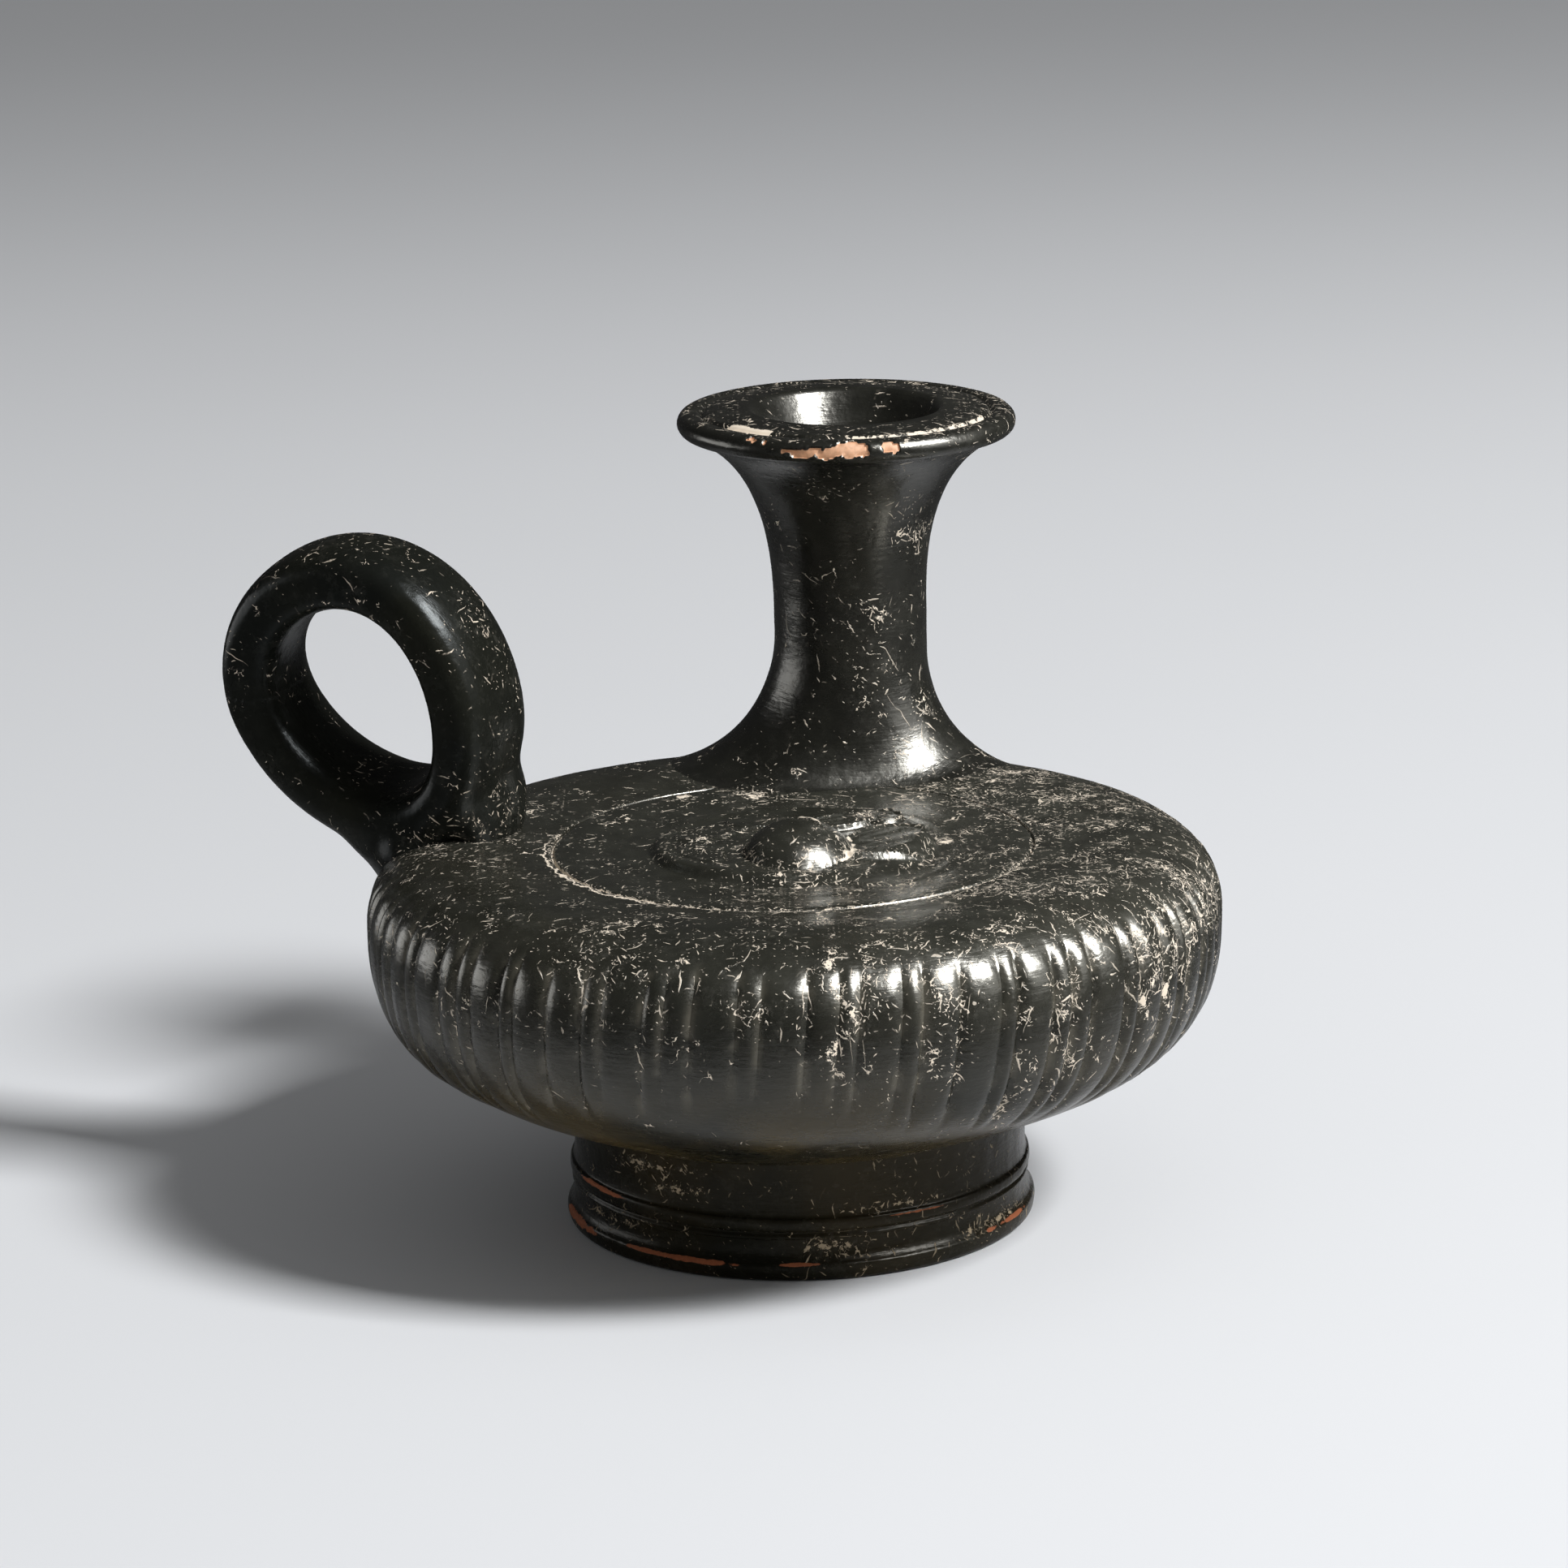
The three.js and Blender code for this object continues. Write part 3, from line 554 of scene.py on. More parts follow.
# Rounded edge of the medallion: inset from its radius and drop from the seam
MEDALLION_EDGE = ((0.55, 0.02), (0.2, 0.06), (0.02, 0.25), (0.0, SEAM_GROOVE))

# Lobes round the boss, worn flat on the left: middle, half length, half width, bearing, rise
LOBES = (
    ((10.8, -3.2), 6.6, 4.6, 35.0, 1.35),
    ((10.2, 7.0), 2.8, 2.4, 0.0, 1.0),
    ((5.0, 5.0), 4.8, 2.6, 25.0, 1.1),
    ((-3.5, 8.0), 4.5, 2.6, 165.0, 0.6),
    ((-9.5, 4.5), 5.0, 2.6, 215.0, 0.4),
    ((-10.5, -4.0), 4.5, 2.4, 110.0, 0.3),
)


def relief(x, y):
    """Height of the carving over the field, nearness to an outline of it, and share of the boss."""
    away_x = (x - BOSS_MIDDLE[0]) / BOSS_HALVES[0]
    away_y = (y - BOSS_MIDDLE[1]) / BOSS_HALVES[1]
    r = np.hypot(away_x, away_y)
    boss = np.clip(1 - r**2, 0, 1)
    ring = bell(r - 1.02, 0.055) * smoothstep(-0.75, -0.2, away_y + 0.5 * away_x)
    brow = bell(away_x - 0.45 + 0.5 * away_y, 0.07)
    brow *= smoothstep(0.0, 0.15, boss) * smoothstep(-0.2, 0.2, away_y)
    outline = np.maximum(ring, brow)
    height = BOSS_RISE * boss**0.62 + 0.35 * outline
    for middle, half_length, half_width, bearing, rise in LOBES:
        turn = radians(bearing)
        from_x = x - middle[0]
        from_y = y - middle[1]
        along = (from_x * cos(turn) + from_y * sin(turn)) / half_length
        across = (from_y * cos(turn) - from_x * sin(turn)) / (half_width * (1 + 0.2 * along))
        spread = np.hypot(along, across)
        inside = np.clip(1 - spread**2, 0, 1)
        strands = 0.07 * np.cos(11 * across + 2 * along) * inside
        rim = bell(spread - 0.97, 0.07)
        height = np.maximum(height, rise * (0.7 * inside**0.3 - 0.3 * inside**2 + strands + 0.35 * rim))
        outline = np.maximum(outline, 0.7 * rim * min(1.0, rise))
    return height, outline, boss


def medallion_surface(material):
    radii = np.concatenate((np.arange(0.3, 17.6, 0.28), np.arange(17.8, 27.4, 0.5)))
    bearings = full_turn(MEDALLION_COLUMNS)
    flat = radii[:, None, None] * outward(bearings)
    x, y = flat[..., 0], flat[..., 1]
    r = np.hypot(x, y)
    from_middle = np.hypot(x, y * FIELD_RADIUS / FIELD_DEPTH)
    field_edge = FIELD_RADIUS + 0.25 * np.sin(3 * bearings) + 0.12 * np.sin(7 * bearings + 1)
    left = 0.5 - 0.5 * np.cos(bearings)
    worn = bell(turned_from(bearings, -52), 0.85)
    rise = FIELD_RISE * (1 - 0.35 * left - 0.4 * worn)
    carving, edge, boss = relief(x, y)
    on_field = 1 - smoothstep(field_edge - 0.4 - 2.8 * worn, field_edge + 0.8 + 1.4 * worn, from_middle)
    ridge = 0.25 * bell(from_middle - field_edge + 1.0, 0.5) * (0.6 + 0.4 * np.sin(bearings))
    outer_ridge = 0.12 * bell(r - 19.6, 0.6)
    z = ground_height(r) + on_field * (rise + carving) + ridge + outer_ridge
    z += 0.08 * ripple(flat, 5.0, 3) + 0.05 * ripple(flat, 1.8, 4) * on_field * (1 - boss)
    top = np.stack((x, y, z), axis=-1)
    wander = 0.1 * ripple(28.0 * outward(bearings), 3.0, 5)
    lip = spin(np.array([(MEDALLION_RADIUS - inset, SEAM_Z - drop) for inset, drop in MEDALLION_EDGE] + [
        (RECESS_RADIUS - 0.01, SEAM_Z - SEAM_GROOVE), (RECESS_RADIUS - 0.01, SEAM_Z - 1.2),
        (RECESS_RADIUS - 0.4, SEAM_Z - 1.5), (RECESS_RADIUS - 0.4, MEDALLION_BOTTOM_Z),
        (2.0, MEDALLION_BOTTOM_Z),
    ]), bearings)
    lip[: len(MEDALLION_EDGE), :, :2] *= (1 + wander / MEDALLION_RADIUS)[:, None]
    points = np.concatenate((top, lip))[::-1]
    crust = np.maximum(crust_at(points), seam_crust(points))
    rows = len(lip)
    crust[:rows] = np.maximum(crust[:rows], 0.2)
    crust[rows - 5 : rows - 2] = 0.8 + 0.5 * bell(turned_from(bearings, -150), 0.7)
    crust[rows:] -= 0.8 * smoothstep(0.05, 0.2, boss)[::-1]
    crust[rows:] = np.maximum(crust[rows:], 1.25 * (edge * on_field)[::-1])
    vertices, faces = capped_solid(points)
    return add_mesh("medallion_surface", vertices, faces, {"crust": capped_values(crust)}, material)


# Shape of the neck

def fillet_reach(bearing):
    """How far the neck's foot spreads over the shoulder at a bearing round the neck."""
    sides = (FILLET_TO_RIGHT + FILLET_TO_LEFT) / 2
    ends = (FILLET_TO_FRONT + FILLET_TO_BACK) / 2
    level = (sides + ends) / 2
    sway = (FILLET_TO_RIGHT - FILLET_TO_LEFT) / 2
    nod = (FILLET_TO_BACK - FILLET_TO_FRONT) / 2
    wanted = level + sway * np.cos(bearing) + nod * np.sin(bearing) + (sides - ends) / 2 * np.cos(2 * bearing)
    outward = NECK_X * np.cos(bearing) + NECK_Y * np.sin(bearing)
    edge = BODY_RADIUS - FILLET_EDGE_MARGIN
    room = np.sqrt(outward**2 - NECK_X**2 - NECK_Y**2 + edge**2) - outward
    return -0.5 * np.log(np.exp(-2 * wanted) + np.exp(-2 * room))


# Top of the lip: distance from the groove in it and height over the lip's edge
RIM_STEPS = (
    (0.75, 0.0), (0.5, -0.06), (0.22, -0.35), (0.0, -0.5), (-0.22, -0.35), (-0.5, 0.02), (-0.8, 0.12),
    (-1.15, 0.16), (-1.6, 0.21), (-2.2, 0.28), (-3.0, 0.36), (-4.0, 0.45),
)


def neck_outline():
    """Outline of the neck above its fillet: shaft, flare, lip, groove, mouth and bore."""
    lip_under = LIP_RADIUS - LIP_OVERHANG
    flare_height = FLARE_Z - WAIST_Z
    reach = lip_under - NECK_RADIUS
    fillet_top = CROWN_Z + FILLET_HEIGHT + FILLET_LEFT_RISE
    shaft = straight((NECK_RADIUS, fillet_top), (NECK_RADIUS, WAIST_Z), 10)
    flare = bezier((NECK_RADIUS, WAIST_Z), (NECK_RADIUS, WAIST_Z + 0.46 * flare_height),
                   (lip_under - 0.73 * reach, FLARE_Z - 0.14 * flare_height), (lip_under, FLARE_Z), 40)
    lip_z = FLARE_Z + LIP_HALF_HEIGHT
    turn = np.radians(np.linspace(-70, 80, 12))
    lip_r = LIP_RADIUS - LIP_HALF_HEIGHT * (1 - np.cos(turn))
    lip = np.stack((lip_r, lip_z + LIP_HALF_HEIGHT * np.sin(turn)), axis=1)
    rim_z = lip_z + LIP_HALF_HEIGHT
    rim = [(RIM_GROOVE_RADIUS + away, rim_z + rise) for away, rise in RIM_STEPS]
    mouth = [(MOUTH_RADIUS + away, MOUTH_Z - drop) for away, drop in ((1.0, 0.08), (0.5, 0.01), (0.1, 0.1))]
    funnel = bezier((MOUTH_RADIUS - 0.35, MOUTH_Z - 0.5), (MOUTH_RADIUS - 2.6, MOUTH_Z - 0.2 * MOUTH_DEPTH),
                    (NECK_BORE_RADIUS + 0.2, MOUTH_Z - 0.6 * MOUTH_DEPTH),
                    (NECK_BORE_RADIUS, MOUTH_Z - MOUTH_DEPTH), 20)
    bore = straight((NECK_BORE_RADIUS, MOUTH_Z - MOUTH_DEPTH), (NECK_BORE_RADIUS, CROWN_Z + 1), 6)
    return np.concatenate((shaft, flare, lip, rim, mouth, funnel, bore)), len(shaft) + len(flare), len(lip)


# Chips in the lip: bearing and half width along the rim, lowest and highest share of the lip
LIP_CHIPS = (
    (-101.0, 10.0, 0.26, 0.64),
    (-89.0, 6.0, 0.26, 0.98),
    (-75.8, 3.2, 0.36, 0.80),
    (-119.8, 1.5, 0.62, 0.80),
    (-125.0, 2.4, 0.66, 0.84),
    (118.0, 6.0, 0.35, 0.80),
)


def chip_depth(points, bearings, lip_start, lip_rows):
    """Share of chipping at each point of the lip, with broken edges."""
    chips = np.zeros(points.shape[:2])
    share = (np.arange(points.shape[0]) - lip_start) / lip_rows
    ragged = 0.9 * ripple(points, 1.7, 6) + 0.6 * ripple(points, 0.6, 7)
    for bearing, half, low, high in LIP_CHIPS:
        away = np.degrees(turned_from(bearings, bearing)) / half
        up = (share[:, None] - (low + high) / 2) / ((high - low) / 2)
        level = 1 - away[None, :] ** 2 - up**2 + 1.1 * ragged
        chips = np.maximum(chips, smoothstep(0.0, 0.3, level))
    return chips


def on_shoulder(r, bearings):
    """Points round the neck's axis, at the depth in the shoulder where the neck is luted."""
    x = r * np.cos(bearings)
    y = r * np.sin(bearings)
    return x, y, ground_height(np.hypot(x + NECK_X, y + NECK_Y)) - SINK


def neck_surface(material):
    outline, lip_start, lip_rows = neck_outline()
    bearings = full_turn(NECK_COLUMNS)
    tube = spin(outline, bearings)
    fillet_steps = 30
    turn = (np.arange(fillet_steps) / fillet_steps) * pi / 2
    reach = fillet_reach(bearings)
    rise = (1 - np.cos(turn))[:, None]
    x, y, ground = on_shoulder(NECK_RADIUS + (reach - NECK_RADIUS) * (1 - np.sin(turn))[:, None], bearings)
    top = CROWN_Z + FILLET_HEIGHT - FILLET_LEFT_RISE * np.cos(bearings)
    fillet = np.stack((x, y, ground + (top - ground) * rise), axis=-1)
    shares = (np.arange(1, 9) / 9)[:, None]
    x, y, ground = on_shoulder(NECK_BORE_RADIUS + (reach - NECK_BORE_RADIUS) * shares, bearings)
    under = np.stack((x, y, ground - 0.3 * np.sin(pi * shares)), axis=-1)
    points = np.concatenate((fillet, tube, under)) + np.array((NECK_X, NECK_Y, 0.0))
    tilt = smoothstep(WAIST_Z, FLARE_Z, points[..., 2])
    points[..., 2] -= MOUTH_DIP * (points[..., 0] - NECK_X) * tilt
    inward = -outward(bearings)
    lip_row = fillet_steps + lip_start
    visible = slice(6, fillet_steps + len(outline) - 8)
    uneven = 0.1 * ripple(points[visible], 9.0, 8) + 0.03 * ripple(points[visible], 2.5, 9)
    points[visible] += uneven[..., None] * inward
    chips = np.zeros(points.shape[:2])
    lip_zone = slice(lip_row - 4, lip_row + lip_rows + 4)
    chips[lip_zone] = chip_depth(points[lip_zone], bearings, 4, lip_rows)
    rough = 0.42 + 0.16 * ripple(points[lip_zone], 0.9, 10)
    depth = (chips[lip_zone] * rough)[..., None]
    points[lip_zone] += depth * (inward * 0.8 + np.array((0, 0, -0.35)))
    crust = crust_at(points)
    on_top = slice(lip_row + lip_rows - 2, lip_row + lip_rows + 12)
    from_groove = np.full(crust.shape, 9.0)
    spread = np.hypot(points[on_top, :, 0] - NECK_X, points[on_top, :, 1] - NECK_Y)
    from_groove[on_top] = spread - RIM_GROOVE_RADIUS
    in_groove = bell(from_groove + 0.2, 0.75)
    worn_groove = np.exp(-(((from_groove + 0.4) / 1.3) ** 4))
    turn = np.degrees(bearings) + 7 * ripple(points[on_top], 1.6, 15)[3]
    worn_strip = smoothstep(211, 217, turn) * (1 - smoothstep(237, 242, turn))
    right_line = smoothstep(266, 272, turn) * (1 - smoothstep(335, 345, turn))
    crust = np.maximum(crust, 0.4 * (from_groove < 5))
    crust = np.maximum(crust, in_groove * (0.5 + 0.6 * right_line))
    crust = np.maximum(crust, 1.4 * worn_groove * worn_strip)
    attributes = {"crust": np.clip(crust, 0, 1.4), "bare": chips}
    return add_grid("neck_surface", points, attributes, material)


# Shape of the handle

def over_body(bearing, inset, rise):
    """Point at a bearing round the body, inset from its edge and above the crown."""
    r = BODY_RADIUS - inset
    return np.array((r * cos(bearing), r * sin(bearing), CROWN_Z + rise))


HANDLE_CENTRE = over_body(HANDLE_BEARING, 0.0, HANDLE_RISE)
UPRIGHT = np.array((0.0, 0.0, 1.0))


def handle_frame():
    across = outward(-HANDLE_YAW)
    level = np.array((sin(HANDLE_YAW), cos(HANDLE_YAW), 0.0))
    rise = UPRIGHT * cos(HANDLE_LEAN) + level * sin(HANDLE_LEAN)
    side = level * cos(HANDLE_LEAN) - UPRIGHT * sin(HANDLE_LEAN)
    return across, rise, side


def handle_line(theta):
    """Middle line of the strap in the handle's own plane."""
    u = HANDLE_HALF_WIDTH * np.cos(theta) * (1 + HANDLE_EGG * np.sin(theta))
    v = HANDLE_HALF_HEIGHT * np.sin(theta)
    c = cos(HANDLE_TURN)
    s = sin(HANDLE_TURN)
    return np.stack((u * c - v * s, u * s + v * c), axis=-1)


def strap_rings(count, steps):
    across, rise, side = handle_frame()
    theta = full_turn(count)
    here = handle_line(theta)
    ahead = handle_line(theta + 0.01) - handle_line(theta - 0.01)
    ahead /= np.linalg.norm(ahead, axis=1, keepdims=True)
    out = ahead[:, 1, None] * across - ahead[:, 0, None] * rise
    middle = HANDLE_CENTRE + here[:, 0, None] * across + here[:, 1, None] * rise
    root_share = (1 - np.sin(theta)) / 2
    half_width = (STRAP_TOP_WIDTH + (STRAP_ROOT_WIDTH - STRAP_TOP_WIDTH) * root_share) / 2
    turn = -full_turn(steps)
    c = np.cos(turn)
    s = np.sin(turn)
    depth = np.where(s < 0, STRAP_BELLY, STRAP_CROWN)
    flatness = np.where(s < 0, 0.5, 0.52)
    x = np.sign(c) * np.abs(c) ** 0.8 * half_width[:, None]
    y = np.sign(s) * np.abs(s) ** flatness * depth
    y = np.broadcast_to(y, x.shape)
    return middle[:, None] + x[..., None] * side + y[..., None] * out[:, None]


def egg_shape(middle, halves, axes):
    """Closed rings of an egg with its middle, half sizes and the directions of its axes."""
    up = np.linspace(0, pi, 26)[1:-1]
    unit = spin(np.stack((np.sin(up), -np.cos(up)), axis=1), full_turn(40))
    return np.array(middle) + (unit * np.array(halves)) @ np.array(axes)


def stem(middle, slope, length, width, thickness):
    """Egg of clay along a limb of the strap, sloping down in the handle's plane."""
    across, rise, side = handle_frame()
    down = across * cos(slope) - rise * sin(slope)
    return egg_shape(middle, (length / 2, width / 2, thickness / 2), (down, side, np.cross(down, side)))


def pad():
    """Low mound of clay under the handle."""
    axes = (outward(PAD_BEARING), outward(PAD_BEARING + pi / 2), UPRIGHT)
    return egg_shape(over_body(PAD_BEARING, 5.4, -2.6), PAD_HALVES, axes)


def handle_surface(material):
    outer_stem = stem(over_body(radians(166), 0.1, -0.5), radians(44), 20.0, 12.4, 7.4)
    inner_stem = stem(over_body(radians(168.3), 13.0, 4.2), radians(80), 15.0, 15.0, 7.8)
    strap = strap_rings(200, 48)
    parts = [(strap.reshape(-1, 3), ring_faces(*strap.shape[:2], True))]
    parts += [capped_solid(egg) for egg in (pad(), outer_stem, inner_stem)]
    vertices = []
    faces = []
    offset = 0
    for points, quads in parts:
        vertices.append(points)
        faces += [tuple(i + offset for i in face) for face in quads]
        offset += len(points)
    piece = add_mesh("handle_surface", np.concatenate(vertices), faces, {}, material)
    remesh = piece.modifiers.new("remesh", "REMESH")
    remesh.mode = "VOXEL"
    remesh.voxel_size = STRAP_VOXEL * MM
    apply_modifiers(piece)
    soften(piece, lambda points: np.ones(len(points)), STRAP_ROUNDS)
    soften(piece, lambda points: 1 - smoothstep(ROOT_SOFT_Z, ROOT_SOFT_END_Z, points[:, 2]), ROOT_ROUNDS)
    cut_to_body(piece)
    finish_handle(piece, material)
    return piece


def piece_points(piece):
    """Vertices of a piece in millimetres from the body's axis."""
    flat = np.zeros(len(piece.data.vertices) * 3)
    piece.data.vertices.foreach_get("co", flat)
    return (flat.reshape(-1, 3) - np.array(AXIS)) / MM


def soften(piece, weight_of, rounds):
    """Smooth a piece, with a weight worked out from each point."""
    group = piece.vertex_groups.new(name="soft")
    for index, weight in enumerate(weight_of(piece_points(piece))):
        if weight > 0:
            group.add([index], float(weight), "REPLACE")
    smooth = piece.modifiers.new("smooth", "SMOOTH")
    smooth.factor = 0.5
    smooth.iterations = rounds
    smooth.vertex_group = "soft"
    apply_modifiers(piece)
    piece.vertex_groups.clear()


def cut_to_body(piece):
    """Take away what lies deeper than the luting in the body."""
    outline = np.concatenate(body_curve()[:3])
    deeper = outline - outline_normals(outline) * 2 * SINK
    vertices, faces = capped_solid(spin(deeper, full_turn(ENVELOPE_COLUMNS)))
    cut_away(piece, add_mesh("envelope", vertices, faces, {}, piece.data.materials[0]))


def finish_handle(piece, material):
    """Give the handle its attributes: crust, and its place along the strap for streaks."""
    points = piece_points(piece)
    across, rise, side = handle_frame()
    local = points - HANDLE_CENTRE
    theta = np.arctan2(local @ rise, local @ across)
    attributes = {"crust": crust_at(points), "along": theta * 15, "across": local @ side}
    finish_mesh(piece.data, attributes, material, 50)


# Shape of the foot

# Outside of the foot from the rest up: for each curve its two pulls and its end, each as inset
# from the foot's radius and height, and its steps
FOOT_CURVES = (
    ((0.6, 0.0), (0.15, 0.15), (0.1, 0.7), 7),
    ((0.0, 1.1), (0.0, 1.5), (0.05, 1.85), 6),
    ((0.1, 2.15), (0.5, 2.2), (0.75, 2.9), 7),
    ((0.95, 3.6), (0.9, 4.4), (0.85, 4.9), 7),
    ((0.6, 5.05), (0.6, 5.3), (0.85, 5.5), 5),
    ((1.0, 5.7), (0.95, 5.8), (0.65, 5.95), 5),
    ((0.45, 6.2), (0.45, 7.0), (0.6, 7.3), 6),
    ((0.75, 7.45), (0.95, 7.45), (0.98, 7.8), 5),
    ((1.1, 8.8), (1.1, 10.0), (1.0, 11.2), 8),
    ((0.95, 12.3), (0.8, 13.2), (FOOT_RADIUS - FOOT_TOP_RADIUS, FOOT_HEIGHT), 8),
)

# Worn and crusted places of the foot: bearing, half width, height, half height, strength
FOOT_WEAR = (
    (-122.0, 17.0, 1.95, 0.35, 1.0),
    (-162.0, 13.0, 1.7, 0.7, 0.9),
    (-91.0, 6.0, 2.1, 0.22, 0.9),
    (-150.0, 13.0, 7.1, 0.35, 0.9),
    (-30.0, 14.0, 2.1, 0.3, 0.7),
    (-60.0, 12.0, 7.1, 0.25, 0.6),
)
FOOT_CRUST = (
    (-122.0, 10.0, 9.8, 0.9, 0.75),
    (-84.0, 9.0, 4.0, 1.8, 0.75),
    (-36.0, 14.0, 2.6, 0.8, 0.8),
    (-130.0, 14.0, 12.2, 0.7, 0.8),
    (-66.0, 16.0, 8.2, 0.5, 0.75),
    (-145.0, 18.0, 4.4, 1.4, 0.6),
)


def foot_places(bearings, heights, places):
    """Share of the listed places of the foot at each bearing and height."""
    total = np.zeros(heights.shape)
    for bearing, half_width, height, half_height, strength in places:
        away = turned_from(bearings, bearing) / radians(half_width)
        total = np.maximum(total, strength * np.exp(-(away**4)) * bell(heights - height, half_height))
    return total


def foot_outline():
    """Whole outline of the foot: rest, mouldings outside, top and inside."""
    start = (FOOT_REST_OUTER, 0.0)
    curves = [straight((FOOT_REST_INNER, 0.0), start, 4)]
    for *pulls, steps in FOOT_CURVES:
        corners = [(FOOT_RADIUS - inset, height) for inset, height in pulls]
        curves.append(bezier(start, *corners, steps))
        start = corners[-1]
    inside = ((FOOT_INNER_TOP, FOOT_HEIGHT), (FOOT_REST_INNER - 0.5, 1.2), (FOOT_REST_INNER, 0.0))
    curves.append(path((start, *inside), (4, 8, 3)))
    return np.concatenate(curves)


def foot_surface(material):
    outline = foot_outline()
    bearings = full_turn(FOOT_COLUMNS)
    points = spin(outline, bearings)
    uneven = 0.1 * ripple(points, 8.0, 11) + 0.04 * ripple(points, 2.0, 12)
    steady = smoothstep(0.0, 1.0, points[..., 2]) * (1 - smoothstep(12.6, FOOT_HEIGHT, points[..., 2]))
    points += (uneven * steady)[..., None] * outward(bearings)
    height = points[..., 2]
    outer = outline[:, 0, None] > FOOT_TOP_RADIUS - 0.6
    ragged = 0.5 * ripple(points, 2.2, 13) + 0.35 * ripple(points, 0.7, 14)
    bare = outer * foot_places(bearings, height, FOOT_WEAR)
    crust = outer * foot_places(bearings, height, FOOT_CRUST)
    points[..., 2] -= 0.3 * np.cos(bearings) * bell(height - 7.0, 1.2) * outer
    attributes = {"crust": crust + 0.2 * outer, "bare": np.clip(bare + bare * ragged, 0, 1)}
    return add_grid("foot_surface", points, attributes, material)


# Materials

class Wiring:
    """Short ways to add and join nodes of one node tree."""

    def __init__(self, tree):
        self.nodes = tree.nodes
        self.links = tree.links

    def feed(self, socket, value):
        if isinstance(value, bpy.types.NodeSocket):
            self.links.new(value, socket)
        elif isinstance(value, tuple) and socket.type == "RGBA":
            socket.default_value = (*value, 1.0)
        else:
            socket.default_value = value

    def add(self, kind, settings=None, **inputs):
        node = self.nodes.new("ShaderNode" + kind)
        for key, value in (settings or {}).items():
            setattr(node, key, value)
        for key, value in inputs.items():
            self.feed(node.inputs[key.replace("_", " ")], value)
        return node

    def feed_in_order(self, node, values):
        for socket, value in zip(node.inputs, values):
            self.feed(socket, value)
        return node.outputs

    def math(self, operation, *values):
        return self.feed_in_order(self.add("Math", {"operation": operation}), values)[0]

    def vector(self, operation, *values):
        outputs = self.feed_in_order(self.add("VectorMath", {"operation": operation}), values)
        return outputs["Value" if operation in ("DOT_PRODUCT", "LENGTH") else "Vector"]

    def chain(self, operation, values):
        """One value after the other joined to the result so far."""
        result = values[0]
        for value in values[1:]:
            result = self.math(operation, result, value)
        return result

    def times(self, *values):
        return self.chain("MULTIPLY", values)

    def plus(self, *values):
        return self.chain("ADD", values)

    def most(self, *values):
        return self.chain("MAXIMUM", values)

    def minus(self, first, second):
        return self.math("SUBTRACT", first, second)

    def size(self, value):
        return self.math("ABSOLUTE", value)

    def linear(self, value, factor, offset):
        """The value times a factor, plus an offset."""
        return self.math("MULTIPLY_ADD", value, factor, offset)

    def scaled(self, vector, factor):
        return self.add("VectorMath", {"operation": "SCALE"}, Vector=vector, Scale=factor).outputs["Vector"]

    def combined(self, x, y, z=0.0):
        return self.add("CombineXYZ", X=x, Y=y, Z=z).outputs[0]

    def step(self, value, low, high, to_low=0.0, to_high=1.0):
        """Smooth step of a value from low to high."""
        node = self.add("MapRange", {"interpolation_type": "SMOOTHSTEP"}, Value=value,
                        From_Min=low, From_Max=high, To_Min=to_low, To_Max=to_high)
        return node.outputs["Result"]

    def noise(self, vector, size, detail=3.0, roughness=0.5):
        node = self.add("TexNoise", Vector=vector, Scale=1.0 / size, Detail=detail, Roughness=roughness)
        return node.outputs["Fac"]

    def drift(self, vector, scale, detail):
        """Noise vector that wanders round nothing."""
        wave = self.add("TexNoise", Vector=vector, Scale=scale, Detail=detail).outputs["Color"]
        return self.vector("SUBTRACT", wave, (0.5, 0.5, 0.5))

    def flattened(self, vector, normal):
        """The vector without its part along the normal."""
        share = self.vector("DOT_PRODUCT", vector, normal)
        return self.vector("SUBTRACT", vector, self.scaled(normal, share))

    def mix(self, factor, first, second):
        node = self.add("Mix", {"data_type": "RGBA"})
        for index, value in ((0, factor), (6, first), (7, second)):
            self.feed(node.inputs[index], value)
        return node.outputs[2]

    def attribute(self, name):
        return self.add("Attribute", {"attribute_name": name}).outputs["Fac"]


def new_group(name, vectors, numbers):
    """A group of nodes with the named inputs, its wiring, and its ends."""
    tree = bpy.data.node_groups.new(name, "ShaderNodeTree")
    sockets = [(key, "INPUT", "NodeSocketVector") for key in vectors]
    sockets += [(key, "INPUT", "NodeSocketFloat") for key in numbers]
    for key, side, kind in sockets + [("Mask", "OUTPUT", "NodeSocketFloat")]:
        tree.interface.new_socket(key, in_out=side, socket_type=kind)
    source = tree.nodes.new("NodeGroupInput").outputs
    drain = tree.nodes.new("NodeGroupOutput").inputs
    return tree, Wiring(tree), source, drain["Mask"]


def in_cells(w, source):
    """The group's place, counted in cells."""
    return w.vector("DIVIDE", source["Vector"], w.combined(*[source["Cell"]] * 3))


